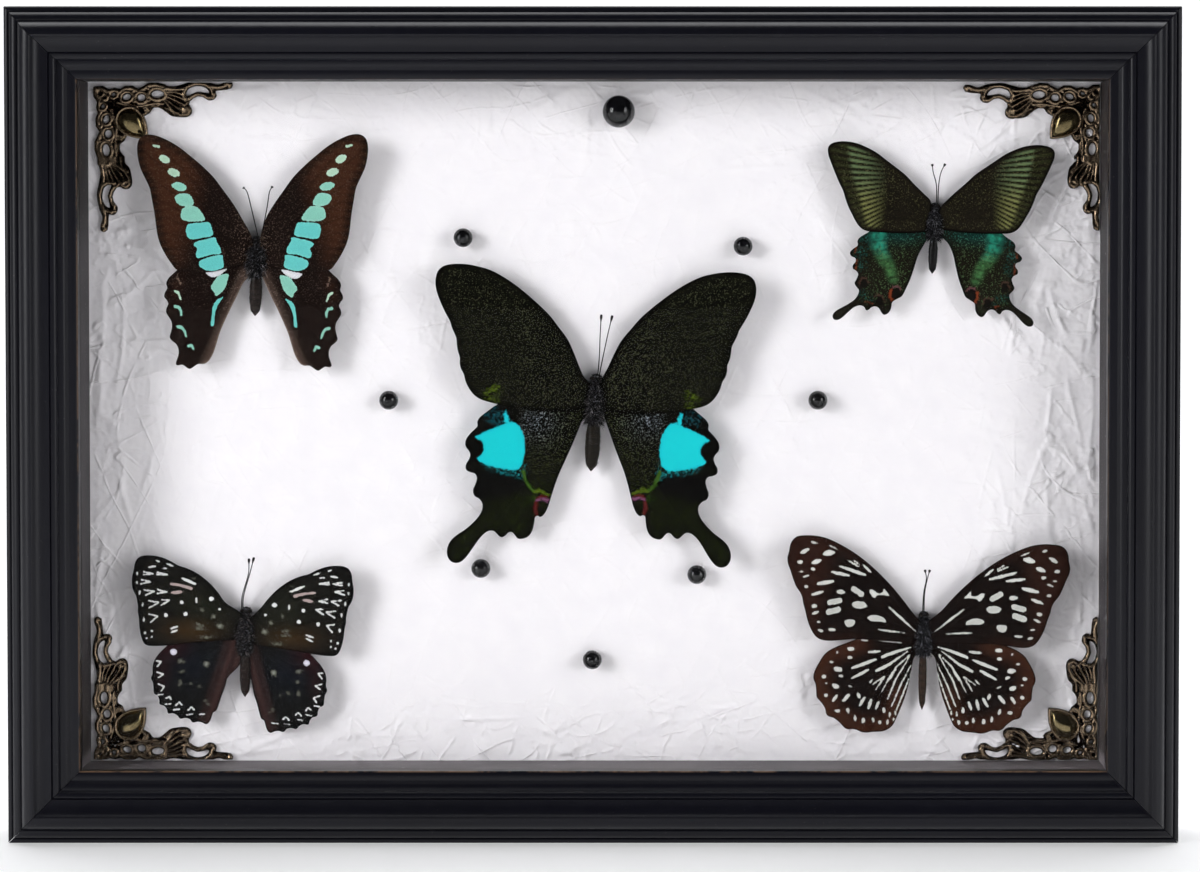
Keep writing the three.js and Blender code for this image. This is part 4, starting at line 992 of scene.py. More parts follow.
def plate_outline(node, setting):
    """The loop round the CAD wing's upper face, in the wing's own plane."""
    mesh = frame["nodes"][node].data
    spots = np.array([vertex.co for vertex in mesh.vertices]) / MM
    u, v, t = setting.unwing(np.stack([spots[:, 0], spots[:, 2] - HALF_HEIGHT, -spots[:, 1]], axis=1))
    keys = [(round(float(a), 2), round(float(b), 2)) for a, b in zip(u, v)]
    edges = {}
    for polygon in mesh.polygons:
        corners = list(polygon.vertices)
        if min(t[i] for i in corners) > WING_THICKNESS - 0.02:
            for i, j in zip(corners, corners[1:] + corners[:1]):
                if keys[i] != keys[j]:
                    edges[(keys[i], keys[j])] = True
    following = {a: b for a, b in edges if (b, a) not in edges}
    start = min(following)
    loop = [start]
    while following[loop[-1]] != start:
        loop.append(following[loop[-1]])
    return np.array(loop)


def resampled(loop, spacing):
    closed = np.concatenate([loop, loop[:1]])
    lengths = np.concatenate([[0.0], np.cumsum(np.linalg.norm(np.diff(closed, axis=0), axis=1))])
    stops = np.linspace(0.0, lengths[-1], int(lengths[-1] / spacing), endpoint=False)
    return np.stack([np.interp(stops, lengths, closed[:, i]) for i in range(2)], axis=1)


def filled(loop, spacing):
    """Points and triangles that fill a loop; the loop's points come first."""
    low, high = loop.min(axis=0), loop.max(axis=0)
    rows = np.arange(low[1], high[1], spacing * 0.866)
    columns = np.arange(low[0], high[0], spacing)
    u, v = np.meshgrid(columns, rows)
    u = u + np.where(np.arange(len(rows)) % 2, spacing / 2, 0.0)[:, None]
    u, v = u.ravel(), v.ravel()
    keep = inside(u, v, loop)
    u, v = u[keep], v[keep]
    keep = loop_depth(u, v, loop) > spacing * 0.5
    points = np.concatenate([loop, np.stack([u[keep], v[keep]], axis=1)])
    edges = [(i, (i + 1) % len(loop)) for i in range(len(loop))]
    spots, _, faces, *_ = geometry.delaunay_2d_cdt([Vector(point) for point in points], edges, [], 1, 1e-5)
    return np.array([tuple(spot) for spot in spots]), np.array(faces)


VEINS = {"fore": ((0.5, 0.5), 9.0, [64, 57, 51, 45, 38, 31, 23, 14, 4]),
         "hind": ((0.5, -1.0), 6.0, [-2, -14, -26, -38, -50, -60, -69])}


def vein_field(u, v, pair):
    """1 on a vein, falling to 0 beside it."""
    (u0, v0), cell, angles = VEINS[pair]
    field = np.zeros_like(u)
    reach = np.hypot(u - u0, v - v0)
    direction = np.degrees(np.arctan2(v - v0, u - u0)) + 0.06 * (reach - 12)
    for angle in angles:
        across = np.radians(direction - angle) * reach
        field = np.maximum(field, np.exp(-(across / 0.3) ** 2) * smoothstep(cell * 0.4, cell, reach))
    return field


def wing_colors(kind, pair, u, v, edge, veined):
    """Ground, mark and dust colours of a wing's points, and how marked and how dusted they are."""
    ground, dust, dusted = kind["ground"](u, v, edge, pair == "fore")
    ground = blend(ground, 0.55 * ground, veined)
    best = np.full(len(u), -9.0)
    mark = np.array(ground)
    for shape, (rim, core), crispness in kind["marks"][0 if pair == "fore" else 1]:
        depth = shape(u, v)
        strength = depth * crispness
        if crispness == DUSTY:
            strength = np.minimum(strength, DUSTY_COVER)
        won = strength > best
        mark[won] = blend(even(rim, u), core, smoothstep(0.15, 0.75, depth))[won]
        best = np.maximum(best, strength)
    field = np.stack([np.clip(0.5 + 0.5 * best, 0, 1), dusted], axis=1)
    return {"ground": ground, "mark": mark, "dust": dust, "field": field}


def build_wing(name, kind, pair, word, side, material):
    """Two skins on the CAD wing's outline, with raised veins and slight waves, in the wing's colours."""
    node = f"{name}_{pair}wing_{word}"
    setting = Setting(kind, pair, side)
    spacing = LARGE_WING_SPACING if name in ("paris", "tiger") else SMALL_WING_SPACING
    loop = resampled(rounded(plate_outline(node, setting), 6), spacing)
    spots, faces = filled(loop, spacing)
    u, v = spots[:, 0], spots[:, 1]
    count = len(u)
    edge = np.maximum(loop_depth(u, v, loop), 0.0)
    veins = vein_field(u, v, pair)
    reach = np.hypot(u, v)
    ripple = 0.1 * value_noise(u, v, 9.0, 61) + 0.03 * value_noise(u, v, 2.4, 62)
    settle = smoothstep(3.0, 9.0, reach)
    rise = settle * (ripple + 0.06 * veins - 0.1 * smoothstep(2.0, 0.0, edge))
    points = np.concatenate([setting.wing(u, v, SKIN_TOP + rise), setting.wing(u, v, SKIN_LOW + rise)])
    triangles = np.concatenate([faces, faces[:, ::-1] + count])
    walls = edge_walls(faces.tolist(), count)
    if side < 0:
        triangles = triangles[:, ::-1]
        walls = [wall[::-1] for wall in walls]
    obj = make_piece(node + "_scales", world(points), triangles.tolist() + walls, material)

    for label, colors in wing_colors(kind, pair, u, v, edge, 0.6 * veins * settle).items():
        paint(obj, label, np.concatenate([colors, colors]))
    belongs(obj, node)


def wing_scales(name):
    """Ground, dust and marks from the mesh, broken up at their edges like rows of scales."""
    n = Nodes("wing_" + name)
    marked, dusted, _ = n.channels("field")[:3]
    rows = n.noise(3600.0, 1.0, 0.6)
    clumps = n.noise(1300.0, 2.0, 0.65)
    ground = n.mix(n.remap(clumps, 0.3, 0.75, 0.22, 0.0), n.attribute("ground"), (0, 0, 0))
    specks = n.remap(n.noise(1950.0, 2.0, 0.75), 0.56, 0.64)
    color = n.mix(n.math("MULTIPLY", specks, dusted), ground, n.attribute("dust"))
    uneven = n.math("MULTIPLY", n.math("SUBTRACT", n.noise(1500.0, 2.0, 0.7), 0.5), 0.34)
    marked = n.remap(n.math("ADD", marked, uneven), 0.465, 0.535)
    worn = n.remap(rows, 0.3, 0.7, 0.0, 0.16)
    mark = n.mix(worn, n.attribute("mark"), ground)
    color = n.mix(marked, color, mark)
    normal = n.bump(rows, 0.25, 0.00012)
    return n.finish(color, 0.62, normal, Specular_IOR_Level=0.03)


# ---- Bodies --------------------------------------------------------------------------------------

BODY_RINGS = 104
BODY_SIDES = 32


def torso_radius(kind, y):
    """Radius of head, thorax and abdomen at a place along the body."""
    (head_at, head), (front, back, radius), (tip, belly), _ = kind["body"]
    waist = back - 0.6
    length = waist - tip
    stations = [(head_at + head, 0.0), (head_at + head * 0.75, head * 0.7), (head_at, head),
                (front - 0.2, head * 0.75), (front - 1.6, radius * 0.78), ((front + back) / 2 + 1, radius),
                ((front + back) / 2 - 1.6, radius * 0.96), (back + 1, radius * 0.76), (waist, belly * 0.8),
                (waist - length * 0.25, belly), (waist - length * 0.58, belly),
                (waist - length * 0.86, belly * 0.74), (tip, 0.0)]
    ys, rs = zip(*stations[::-1])
    return np.interp(y, ys, rs)


def tube(points, radii, sides):
    """A closed tube along a line, as points and faces."""
    points = np.asarray(points, float)
    tangents = np.gradient(points, axis=0)
    tangents /= np.linalg.norm(tangents, axis=1)[:, None]
    across = np.cross(tangents, (0.0, 0.0, 1.0))
    across /= np.maximum(np.linalg.norm(across, axis=1)[:, None], 1e-6)
    upward = np.cross(across, tangents)
    spots = []
    for point, a, b, radius in zip(points, across, upward, radii):
        for turn in np.linspace(0, 2 * math.pi, sides, endpoint=False):
            spots.append(point + radius * (math.cos(turn) * a + math.sin(turn) * b))
    first, last = end_caps(len(points), sides)
    return np.array(spots), ring_quads(len(points), sides) + [first[::-1], last]


def bend_line(points, steps):
    """A smooth open line through the points."""
    points = np.asarray(points, float)
    ends = np.concatenate([[2 * points[0] - points[1]], points, [2 * points[-1] - points[-2]]])
    result = []
    for i in range(len(points) - 1):
        p0, p1, p2, p3 = ends[i:i + 4]
        for t in np.linspace(0, 1, steps, endpoint=i == len(points) - 2):
            result.append(0.5 * (2 * p1 + (p2 - p0) * t + (2 * p0 - 5 * p1 + 4 * p2 - p3) * t * t
                                 + (3 * p1 - p0 - 3 * p2 + p3) * t ** 3))
    return np.array(result)


class Pile:
    """Parts of one mesh, with a colour and a coat for each point; the coat is 1 where it may glint."""

    def __init__(self):
        self.count = 0
        self.clouds, self.polygons, self.colors, self.coats = [], [], [], []

    def add(self, points, faces, color, coat=0.0):
        self.clouds.append(np.asarray(points, float))
        self.polygons.extend([tuple(i + self.count for i in face) for face in faces])
        self.colors.append(np.broadcast_to(color, (len(points), 3)))
        self.coats.append(np.broadcast_to(coat, (len(points), 3)))
        self.count += len(points)


def add_torso(pile, kind):
    """Head, thorax and ringed abdomen as one lumpy tube."""
    (head_at, head), (front, back, radius), (tip, _), _ = kind["body"]
    ys = np.linspace(head_at + head * 0.985, tip + 0.12, BODY_RINGS)
    turns = np.linspace(0, 2 * math.pi, BODY_SIDES, endpoint=False)
    y, turn = np.meshgrid(ys, turns, indexing="ij")
    in_abdomen = smoothstep(back - 0.6, back - 1.6, y)
    in_thorax = smoothstep(back - 1.0, back + 0.4, y) * smoothstep(front + 0.2, front - 0.8, y)
    segments = np.cos(2 * math.pi * (y - tip) / ((back - tip) / 7.5))
    lumps = value_noise(turn * radius, y, 0.9, 71) * 0.2 + value_noise(turn * radius, y, 0.4, 72) * 0.1
    swell = 1.0 - 0.035 * in_abdomen * smoothstep(0.55, 1.0, segments) + (0.5 * in_thorax + 0.15) * lumps
    r = np.maximum(torso_radius(kind, y) * swell, 0.06)
    points = np.stack([r * np.sin(turn), y, r * np.cos(turn) * BODY_FLATNESS], axis=-1).reshape(-1, 3)
    shade = blend(even(kind["hair"] * 0.15, y), kind["abdomen"] * 0.6, in_abdomen)
    shade = blend(shade, kind["abdomen"] * 0.25, in_abdomen * smoothstep(0.4, 1.0, segments))
    first, last = end_caps(BODY_RINGS, BODY_SIDES)
    faces = ring_quads(BODY_RINGS, BODY_SIDES) + [first[::-1], last]
    pile.add(points, faces, shade.reshape(-1, 3), (1.0 - in_abdomen).reshape(-1, 1))


def add_eyes_and_antennae(pile, kind):
    (head_at, head), _, _, lean = kind["body"]
    girths = 0.66 * head * np.sqrt(np.clip(1 - np.linspace(-0.97, 0.97, 12) ** 2, 0.01, 1))
    for side in (-1, 1):
        eye = [(side * head * 0.62, head_at + step, head * 0.35) for step in np.linspace(-0.6, 0.75, 12)]
        pile.add(*tube(eye, girths, 16), srgb(22, 17, 15))
    for line in kind["antennae"]:
        path = bend_line([(x, y, 0.3 + 0.35 * i) for i, (x, y) in enumerate(line)], 14)
        share = np.linspace(0, 1, len(path))
        club = 0.27 * smoothstep(0.88, 0.965, share) * smoothstep(1.03, 0.985, share)
        x, y = turned(path[:, 0], path[:, 1], lean)  # the whole body is turned back by its lean later
        stem = np.stack([x, y, path[:, 2]], axis=1)
        pile.add(*tube(stem, 0.17 - 0.03 * share + club, 8), srgb(15, 13, 12))


# A hair is three points at its root, three at its knee and one at its end.
HAIR_FACES = [(0, 1, 4, 3), (1, 2, 5, 4), (2, 0, 3, 5), (3, 4, 6), (4, 5, 6), (5, 3, 6), (2, 1, 0)]


def add_hairs(pile, kind, random, count, low, high, length, wide, shade):
    """Fine hairs that stand off the body and lie backwards."""
    for _ in range(count):
        at = random.uniform(low, high)
        turn = random.uniform(-0.62, 0.62) * math.pi
        r = float(torso_radius(kind, at)) * 0.95
        root = np.array([r * math.sin(turn), at, r * math.cos(turn) * BODY_FLATNESS])
        out = np.array([math.sin(turn), random.uniform(-1.3, 0.5), math.cos(turn) * 0.8])
        out += random.normal(0, 0.35, 3)
        out /= np.linalg.norm(out)
        reach = length * random.uniform(0.5, 1.1)
        side = np.cross(out, (0.3, 0.5, 0.8))
        side /= np.linalg.norm(side)
        other = np.cross(out, side)
        w = wide * random.uniform(0.6, 1.2)
        knee = root + out * reach * 0.55
        end = root + out * reach + np.array([0, -0.2 * reach, -0.12 * reach])
        spots = [root + w * side, root - 0.5 * w * side + 0.87 * w * other,
                 root - 0.5 * w * side - 0.87 * w * other]
        spots += [spot + (knee - root) - 0.3 * (spot - root) for spot in spots[:3]] + [end]
        tint = shade * random.choice([0.2, 0.5, 1.0, 6.0, 16.0], p=[0.42, 0.33, 0.17, 0.04, 0.04])
        pile.add(spots, HAIR_FACES, tint, 0.7)


def build_body(name, kind, material):
    (head_at, head), (front, back, radius), (tip, belly), lean = kind["body"]
    pile = Pile()
    add_torso(pile, kind)
    add_eyes_and_antennae(pile, kind)
    random = np.random.default_rng(len(name) * 7)
    hair, bristle = kind["hair"], kind["abdomen"] * 0.5
    add_hairs(pile, kind, random, 1500, back - 0.4, front + 0.3, radius * 0.72, 0.1, hair)
    add_hairs(pile, kind, random, 220, head_at - 0.6, head_at + head * 0.8, head * 0.5, 0.07, hair * 0.8)
    add_hairs(pile, kind, random, 170, tip + 1.5, back - 0.8, belly * 0.28, 0.045, bristle)
    points = np.concatenate(pile.clouds)
    x, y = turned(points[:, 0], points[:, 1], -lean)
    points = Setting(kind).body(x, y, np.maximum(points[:, 2], -radius * BODY_FLATNESS))
    obj = make_piece(name + "_insect", world(points), pile.polygons, material, sharp_degrees=60)
    paint(obj, "shade", np.concatenate(pile.colors))
    paint(obj, "coat", np.concatenate(pile.coats))
    belongs(obj, name + "_body")


def insect_coat():
    n = Nodes("insect_body")
    coarse = n.noise(1500.0, 2.0, 0.7)
    glint = n.math("MULTIPLY", n.remap(coarse, 0.59, 0.65, 0.0, 0.85), n.channels("coat")[0])
    color = n.mix(glint, n.attribute("shade"), srgb(142, 142, 152))
    color = n.mix(n.remap(coarse, 0.3, 0.5, 0.7, 0.0), color, srgb(5, 5, 5))
    return n.finish(color, 0.4, n.bump(coarse, 0.4, 0.0002), Specular_IOR_Level=0.12)


def build_butterflies():
    coat = insect_coat()
    for name, kind in SPECIES.items():
        scales = wing_scales(name)
        for word, side in (("left", -1), ("right", 1)):
            for pair in ("fore", "hind"):
                build_wing(name, kind, pair, word, side, scales)
        build_body(name, kind, coat)


# ---- Corner ornaments ----------------------------------------------------------------------------
# One arm of the filigree, (along the rail, in from it), from the outer corner. The other arm mirrors it.

ARM_OUTLINE = [
    (1.4, 0.2), (3.3, 0.2), (5.1, 1.4), (6.7, 1.1), (8.5, 1.6), (10.1, 0.5), (12.2, 0.6), (14.1, 1.7),
    (15.6, 1.1), (17.2, -0.1), (19.6, -0.2), (22.1, 0.6), (25.2, 1.1), (28.3, 0.5), (31.4, -0.2),
    (35.7, 0.2), (38.8, 1.1), (41.2, 0.4), (42.8, 0.5), (43.2, 1.7), (41.9, 2.7), (39.4, 3), (37.8, 3.3),
    (38.1, 4.5), (37.2, 5.7), (35.4, 5.9), (34.1, 4.7), (32, 4.3), (30.1, 5.1), (29.5, 6.7), (30.2, 8.2),
    (30.1, 9.8), (28.9, 10.7), (25.5, 10.6), (23.6, 10.1), (22.4, 9.1), (20.2, 7.6), (18.4, 7.6),
    (17.2, 9.1), (15.3, 9.75), (13, 10.5), (11, 11), (5, 5), (0.2, 0.4)]
ARM_OPENINGS = [spot(6.4, 2.9, 0.75), spot(10.4, 3.8, 1.35, 1.05, -20), spot(14.9, 4.2, 1.35, 1.2),
                spot(19.9, 3.3, 2.05, 1.3, 4)]
ARM_CRESCENT = [(28.5, 4.4), (29.5, 2.2), (32, 1.4), (34.8, 2.1), (35.8, 3.6), (34.1, 3.4), (32.2, 3.1),
                (30.4, 3.7)]


def ring(u0, v0, long, wide, turn, pen):
    """A closed round band."""
    corners = [turned(long * math.cos(t), wide * math.sin(t), turn) for t in np.linspace(0, 2 * math.pi, 21)]
    return [(u0 + a, v0 + b) for a, b in corners], pen, pen


ARM_BANDS = [
    ring(6.4, 2.9, 1.2, 1.2, 0, 0.5), ring(10.4, 3.8, 1.9, 1.6, -20, 0.55),
    ring(14.9, 4.2, 1.9, 1.75, 0, 0.55), ring(19.9, 3.3, 2.65, 1.85, 4, 0.6),
    ring(2.4, 2.2, 1.1, 1.1, 0, 0.5),
    # The outer rim, then the inner one.
    ([(1.2, 0.9), (3, 0.9), (4.9, 2), (6.7, 1.6), (8.5, 2.1), (10.2, 1.2), (12.1, 1.2), (14, 2.3),
      (15.7, 1.6), (17.4, 0.6), (19.6, 0.5), (22, 1.2)], 0.62, 0.62),
    ([(7.6, 5.4), (9.2, 6.0), (11, 6.3), (13, 6.9), (15.4, 6.7), (17.6, 6.3), (20, 6.1), (21.6, 6.4)],
     0.5, 0.4),
    # The leaf: ribs that fan out from its stalk, the lowest rolled into a scroll foot.
    ([(21.4, 4.6), (23, 6.6), (24.6, 8.6), (26.8, 9.9), (28.8, 9.9), (29.6, 8.7), (28.9, 7.7), (27.8, 8.1),
      (27.9, 8.9)],
     0.42, 0.6),
    ([(21.9, 4.4), (23.8, 6.1), (25.6, 7.6), (26.9, 8.3)], 0.36, 0.3),
    ([(22.3, 3.9), (24.6, 5.0), (26.8, 6.3), (28.3, 7.0), (29.1, 6.2)], 0.4, 0.42),
    ([(22.6, 3.3), (25, 3.9), (27.2, 4.9), (28.6, 5.9)], 0.38, 0.3),
    ([(22.8, 2.7), (25.4, 2.9), (27.3, 3.6), (28.2, 4.6)], 0.4, 0.36),
    ([(22.2, 1.6), (25, 2.0), (27, 2.2), (28.6, 1.9)], 0.5, 0.4),
    ([(22.2, 7.6), (23.6, 8.2), (25, 9.8)], 0.4, 0.35),
    # Round the crescent and out to the tail.
    ([(28.4, 5.2), (28.0, 3.2), (29, 1.5), (31.8, 0.6), (34.8, 0.9), (36.6, 2.3), (37, 3.8)], 0.5, 0.5),
    ([(29.6, 5.2), (30.6, 4.4), (32.2, 3.8), (34, 4.1), (35.4, 5.1), (36.8, 4.9), (37.3, 3.9)], 0.55, 0.5),
    ([(36.4, 1.6), (38.4, 2.0), (40.2, 1.8), (41.6, 1.1), (42.4, 1.2), (42.2, 2.0)], 0.62, 0.5),
    # Curls beside the boss.
    ([(12.6, 8.4), (14.2, 9.3), (15.8, 9.2), (16.9, 8.2), (16.5, 7.2), (15.5, 7.3), (15.6, 8.1)], 0.5, 0.4),
    ([(18.0, 6.8), (19.4, 7.0), (20.6, 6.6)], 0.42, 0.35),
    ([(3.2, 1.8), (4.4, 3.4), (4.4, 4.4)], 0.55, 0.5),
    ([(8.2, 7.8), (9.6, 7.0), (11.4, 7.2), (12.6, 7.9)], 0.42, 0.42),
]
ARM_BEADS = [(1.3, 1.1, 0.75), (5.0, 1.9, 0.6), (8.4, 2.2, 0.6), (12.6, 2.2, 0.55), (17.2, 1.5, 0.62),
             (12.7, 5.4, 0.6), (17.2, 5.3, 0.6), (22.4, 1.9, 0.7), (28.2, 8.4, 0.62), (15.9, 8.1, 0.6),
             (36.9, 5.2, 0.62), (42.5, 1.4, 0.7), (25.4, 1.5, 0.5), (39.2, 1.9, 0.5), (9.6, 6.6, 0.55),
             (13.4, 7.4, 0.5), (19.2, 7.1, 0.45)]
UPRIGHT_FROM = 22.1  # from here the upright arm is drawn out by UPRIGHT_EXTRA
UPRIGHT_EXTRA = 1.9
BOSS_CENTRE = (11.0, 11.1)
BOSS_TURN = 47.5  # the way its tip points
BOSS_RADIUS = 4.5
BOSS_LENGTH = 7.9  # from the middle of the round part to the tip
BEZEL = 0.9
ORNAMENT_PITCH = 0.22
ARM_REACH = 46.4  # of the grid along each arm
ARM_BREADTH = 18.5  # and across it
BAND_BROADENING = 1.38  # of the bands' pens as they are listed


def drop_width(s, radius, length):
    """Half the width of the teardrop at a distance s from its middle towards its tip."""
    blunt = np.sqrt(np.clip(1 - (s / radius) ** 2, 0, 1))
    tapering = np.clip(1 - (np.clip(s, 0, length) / length) ** 1.9, 0, 1)
    return radius * np.where(s < 0, blunt, tapering)


def drop_place(along, inward):
    return turned(along - BOSS_CENTRE[0], inward - BOSS_CENTRE[1], -BOSS_TURN)


def drop_depth(along, inward):
    """Depth inside the outline of the boss."""
    blunt_end = -BOSS_RADIUS * np.cos(np.linspace(0, math.pi / 2, 14))
    stops = np.concatenate([blunt_end, np.linspace(0, BOSS_LENGTH, 16)[1:]])
    widths = drop_width(stops, BOSS_RADIUS, BOSS_LENGTH)
    loop = np.concatenate([np.stack([stops, widths], 1), np.stack([stops, -widths], 1)[-2:0:-1]])
    s, q = drop_place(along, inward)
    depth = np.full(np.shape(s), -9.0)
    near = (np.abs(s) < 10) & (np.abs(q) < 7)
    depth[near] = loop_depth(s[near], q[near], loop)
    return depth


def ornament_relief(along, inward):
    """Depth inside the pierced outline and height over the back, for points of the whole corner."""
    cover = np.full(along.shape, -9.0)
    height = np.zeros(along.shape)
    outline = rounded(ARM_OUTLINE, 5)
    for flip in (False, True):
        u, v = (inward, along) if flip else (along, inward)
        if flip:
            u = np.where(u > UPRIGHT_FROM + UPRIGHT_EXTRA, u - UPRIGHT_EXTRA, np.minimum(u, UPRIGHT_FROM))
        near = (v < 17.5) & (u > -1.5)
        un, vn = u[near], v[near]
        plate = loop_depth(un, vn, outline)
        for opening in ARM_OPENINGS:
            plate = np.minimum(plate, -opening(un, vn))
        plate = np.minimum(plate, -loop_depth(un, vn, rounded(ARM_CRESCENT, 4)))
        depth = plate.copy()
        level = 0.42 + 0.2 * smoothstep(0.0, 0.8, plate)
        ribs = 0.06 * np.cos((vn * 1.1 - un * 0.55) * 5.2)
        level += ribs * smoothstep(20.5, 23, un) * smoothstep(29.5, 27.5, un)
        for points, pen, end in ARM_BANDS:
            pen, end = pen * BAND_BROADENING, end * BAND_BROADENING
            band = stroke(points, pen, end)(un, vn)
            depth = np.maximum(depth, band)
            bulge = np.sqrt(np.clip(1 - (1 - np.clip(band / pen, 0, 1)) ** 2, 0, 1))
            level = np.where(band > 0, np.maximum(level, 0.55 + min(0.95, 1.35 * pen) * bulge), level)
        for u0, v0, radius in ARM_BEADS:
            distance = np.hypot(un - u0, vn - v0)
            ball = np.sqrt(np.clip(1 - (distance / radius) ** 2, 0, 1))
            crown = 0.75 + 0.85 * ball * min(1.0, radius / 0.6)
            depth = np.maximum(depth, radius - distance)
            level = np.where(distance < radius, np.maximum(level, crown), level)
        merged, tall = cover[near], height[near]
        cover[near] = np.maximum(merged, depth)
        height[near] = np.maximum(tall, np.where(depth > -0.3, level, 0.0))
    boss = drop_depth(along, inward)
    rim = 1.35 + 0.55 * np.sqrt(np.clip(1 - ((boss - 0.45) / 0.45) ** 2, 0, 1))
    s, q = drop_place(along, inward)
    girth = np.maximum(drop_width(s, BOSS_RADIUS - BEZEL, BOSS_LENGTH - 1.7), 1e-3)
    swell = (girth / BOSS_RADIUS) ** 0.8 * np.sqrt(np.clip(1 - (q / girth) ** 2, 0, 1))
    dome = 1.3 + 2.2 * swell
    boss_level = np.where(boss > BEZEL, dome, rim)
    height = np.where(boss > 0, boss_level, height)
    return np.maximum(cover, boss), np.clip(height, 0.3, 3.35)


def build_ornament(node, place_x, place_z, skew, material):
    """A relief on a grid, whose outermost points are drawn in to the outline so that it stays smooth."""
    lines = np.arange(-1.0, ARM_REACH, ORNAMENT_PITCH)
    along, inward = np.meshgrid(lines, lines, indexing="ij")
    useful = np.minimum(along, inward) < ARM_BREADTH
    depth = np.full(along.shape, -9.0)
    height = np.zeros(along.shape)
    depth[useful], height[useful] = ornament_relief(along[useful], inward[useful])
    mirror_x, mirror_z = -math.copysign(1, place_x), -math.copysign(1, place_z)
    x, z = turned(along * mirror_x, inward * mirror_z, skew)
    x, z = x + place_x, z + place_z
    depth = np.minimum(depth, np.minimum(SIGHT_X - 0.05 - np.abs(x), SIGHT_Z - 0.05 - np.abs(z)))
    slope_a, slope_b = np.gradient(depth, ORNAMENT_PITCH)
    steep = np.maximum(slope_a ** 2 + slope_b ** 2, 0.25)
    outside = depth <= 0
    move = np.where(outside & (depth > -1.5 * ORNAMENT_PITCH), -depth / steep, 0.0)
    move = np.clip(move, 0.0, 1.4 * ORNAMENT_PITCH)
    x2, z2 = turned((along + move * slope_a) * mirror_x, (inward + move * slope_b) * mirror_z, skew)
    usable = depth > -1.45 * ORNAMENT_PITCH
    cells = np.all(cell_corners(usable), axis=0) & (np.sum(cell_corners(~outside), axis=0) >= 2)
    number = np.arange(along.size).reshape(along.shape)
    quads = np.stack([corner[cells] for corner in cell_corners(number)], axis=1)
    used, compact = np.unique(quads, return_inverse=True)
    quads = compact.reshape(quads.shape)
    relief = np.where(outside, np.minimum(height, 0.5), height).ravel()[used]
    front = np.stack([x2.ravel()[used] + place_x, z2.ravel()[used] + place_z, relief], axis=1)
    back = front.copy()
    back[:, 2] = 0.0
    count = len(used)
    flipped = mirror_x * mirror_z < 0
    faces = [tuple(q[::-1]) if flipped else tuple(q) for q in quads.tolist()]
    under = [tuple(i + count for i in reversed(face)) for face in faces]
    points = np.concatenate([front, back])
    points[:, 2] += PAPER_LEVEL + REST_GAP
    faces += under + edge_walls(faces, count)
    obj = make_piece(node + "_cast", world(points), faces, material, sharp_degrees=80)
    tall = np.clip(relief / 1.6, 0, 1)
    boss = smoothstep(0.8, 0.95, drop_depth(along, inward)).ravel()[used]
    marks = np.stack([tall, boss], axis=1)
    paint(obj, "relief", np.concatenate([marks, marks]))
    belongs(obj, node)


def antique_bronze():
    n = Nodes("bronze")
    tall, boss, _ = n.channels("relief")[:3]
    cloudy = n.noise(420.0, 4.0, 0.6)
    grain = n.noise(2400.0, 3.0, 0.6)
    uneven = n.math("MULTIPLY", n.math("SUBTRACT", cloudy, 0.5), 0.7)
    rubbed = n.remap(n.math("ADD", tall, uneven), 0.5, 1.0)
    color = n.mix(rubbed, srgb(38, 30, 24), srgb(142, 123, 101))
    dome = n.mix(n.remap(cloudy, 0.3, 0.75), srgb(108, 96, 68), srgb(140, 126, 94))
    color = n.mix(boss, color, dome)
    dull = n.math("ADD", cloudy, n.math("MULTIPLY", boss, -0.35))
    roughness = n.remap(dull, 0.2, 0.8, 0.15, 0.32, "LINEAR")
    return n.finish(color, roughness, n.bump(grain, 0.2, 0.0001), Metallic=1.0)


def build_ornaments():
    material = antique_bronze()
    build_ornament("ornament_top_left", -154.6, 103.7, 2.4, material)
    build_ornament("ornament_top_right", 156.9, 104.2, -0.4, material)
    build_ornament("ornament_bottom_left", -155.3, -105.4, 0.0, material)
    build_ornament("ornament_bottom_right", 156.8, -105.5, 0.0, material)


# ---- Camera, light and stage ---------------------------------------------------------------------

IMAGE_WIDTH = 1200
IMAGE_HEIGHT = 872
FOCAL_PX = 3303.4
AXIS_PX = (667, 217)  # where a line square to the frame meets the picture
EYE_X = 22.4
EYE_Z = 190.3
EYE_DISTANCE = 1000.0  # in front of the frame's outer arris
SENSOR = 36.0
SHIFT_Y = -0.10
WORLD_LIGHT = 0.12
DIM_LIGHT = 0.03


def build_camera():
    camera = bpy.data.cameras.new("camera")
    camera.sensor_width = SENSOR
    camera.lens = FOCAL_PX / IMAGE_WIDTH * SENSOR
    camera.shift_x = (IMAGE_WIDTH / 2 - AXIS_PX[0]) / IMAGE_WIDTH
    camera.shift_y = SHIFT_Y
    camera.clip_start = 0.01
    camera.clip_end = 20.0
    fall = math.atan((IMAGE_HEIGHT / 2 - AXIS_PX[1]) / FOCAL_PX)
    tilt = fall - math.atan(-SHIFT_Y * IMAGE_WIDTH / FOCAL_PX)
    obj = bpy.data.objects.new("camera", camera)
    obj.location = (EYE_X * MM, -(EDGE_LEVEL + EYE_DISTANCE) * MM, EYE_Z * MM)
    obj.rotation_euler = (math.pi / 2 - tilt, 0, 0)
    bpy.context.scene.collection.objects.link(obj)
    bpy.context.scene.camera = obj


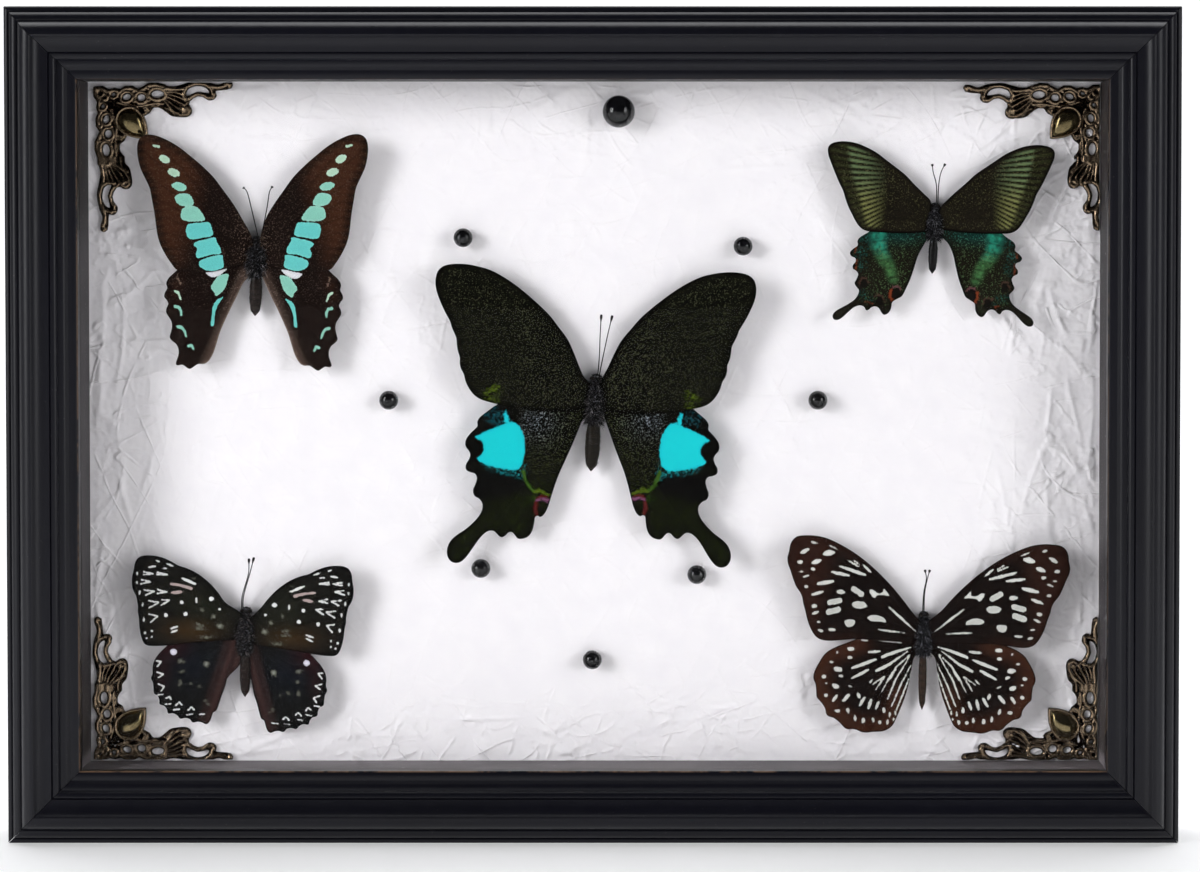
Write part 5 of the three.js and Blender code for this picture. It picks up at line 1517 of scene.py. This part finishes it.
def area_light(name, place, target, size, radiance, spread):
    """A soft rectangular light; a spread under 180 degrees is that of a softbox with a grid."""
    light = bpy.data.lights.new(name, "AREA")
    light.shape = "RECTANGLE"
    light.size, light.size_y = size
    half = math.radians(spread) / 2
    gathered = 1.0 if spread >= 180.0 else 1.0 - half / math.tan(half)
    light.energy = radiance * math.pi * size[0] * size[1] * gathered
    light.spread = math.radians(spread)
    light.color = (0.97, 0.98, 1.0)
    obj = bpy.data.objects.new(name, light)
    obj.location = place
    obj.rotation_euler = (Vector(target) - Vector(place)).to_track_quat("-Z", "Y").to_euler()
    bpy.context.scene.collection.objects.link(obj)


# The lights and the stage are in world metres.
FRAME_MIDDLE = (0, 0, 0.127)
LIGHTS = [  # (name, place, target, size, radiance, spread in degrees)
    ("window_left", (-1.35, -1.05, 0.5), FRAME_MIDDLE, (0.6, 0.9), 8.9, 75.0),
    ("window_right", (1.35, -1.1, 0.45), FRAME_MIDDLE, (0.6, 0.9), 5.1, 75.0),
    ("overhead", (0.0, 0.1, 1.3), (0, 0.1, 0.0), (1.2, 0.5), 5.0, 80.0),
    ("backdrop_wash", (0.0, 1.4, 2.3), (0, 1.7, 0.2), (3.2, 1.6), 2.6, 180.0),
]


def build_world():
    """The room is bright at the sides, and dim straight in front, where the glass would mirror it."""
    studio = bpy.data.worlds.new("studio")
    studio.use_nodes = True
    tree = studio.node_tree
    background = next(node for node in tree.nodes if node.type == "BACKGROUND")
    direction = tree.nodes.new("ShaderNodeTexCoord").outputs["Generated"]
    parts = tree.nodes.new("ShaderNodeSeparateXYZ")
    bright = tree.nodes.new("ShaderNodeMapRange")
    bright.interpolation_type = "SMOOTHSTEP"
    for label, value in (("From Min", -0.9), ("From Max", -0.15), ("To Min", DIM_LIGHT),
                         ("To Max", WORLD_LIGHT)):
        bright.inputs[label].default_value = value
    tree.links.new(direction, parts.inputs["Vector"])
    tree.links.new(parts.outputs["Y"], bright.inputs["Value"])
    tree.links.new(bright.outputs["Result"], background.inputs["Strength"])
    background.inputs["Color"].default_value = (0.95, 0.96, 1.0, 1.0)
    bpy.context.scene.world = studio


def build_stage():
    """A white floor that sweeps up into a wall behind."""
    n = Nodes("studio_white")
    color = n.mix(n.noise(3.0), (0.93, 0.93, 0.94), (0.96, 0.96, 0.96))
    material = n.finish(color, 0.9, Specular_IOR_Level=0.1, Emission_Color=(1.0, 1.0, 1.0, 1.0),
                        Emission_Strength=0.34)
    radius, wall = 0.8, 2.6
    path = [(-6.0, 0.0)]
    path += [(wall - radius + radius * math.sin(t), radius - radius * math.cos(t))
             for t in np.linspace(0, math.pi / 2, 16)]
    path.append((wall, 3.0))
    points = [(x, y, z) for y, z in path for x in (-6.0, 6.0)]
    faces = [(2 * i, 2 * i + 1, 2 * i + 3, 2 * i + 2) for i in range(len(path) - 1)]
    floor = make_piece("studio_floor", points, faces, material)


# ---- Everything together -------------------------------------------------------------------------

def dress_plain_nodes():
    spacer = spacer_paint()
    for side in ("top", "bottom", "left", "right"):
        dress("spacer_" + side, spacer)
    dress("glass", clear_glass())
    frame["nodes"]["glass"].visible_shadow = False
    dress("mount_board", plain_board("mount_board", srgb(226, 226, 224), srgb(205, 204, 200), 200.0))
    dress("back_panel", plain_board("back_panel", srgb(126, 94, 66), srgb(88, 62, 42)))
    steel = zinc_steel()
    for node in frame["nodes"]:
        if node.startswith(("point_", "hanger_")):
            dress(node, steel)


bpy.context.scene.view_settings.view_transform = "Standard"
build_camera()
for settings in LIGHTS:
    area_light(*settings)
build_world()
build_stage()
build_rails()
dress_plain_nodes()
build_paper()
build_beads()
build_butterflies()
build_ornaments()
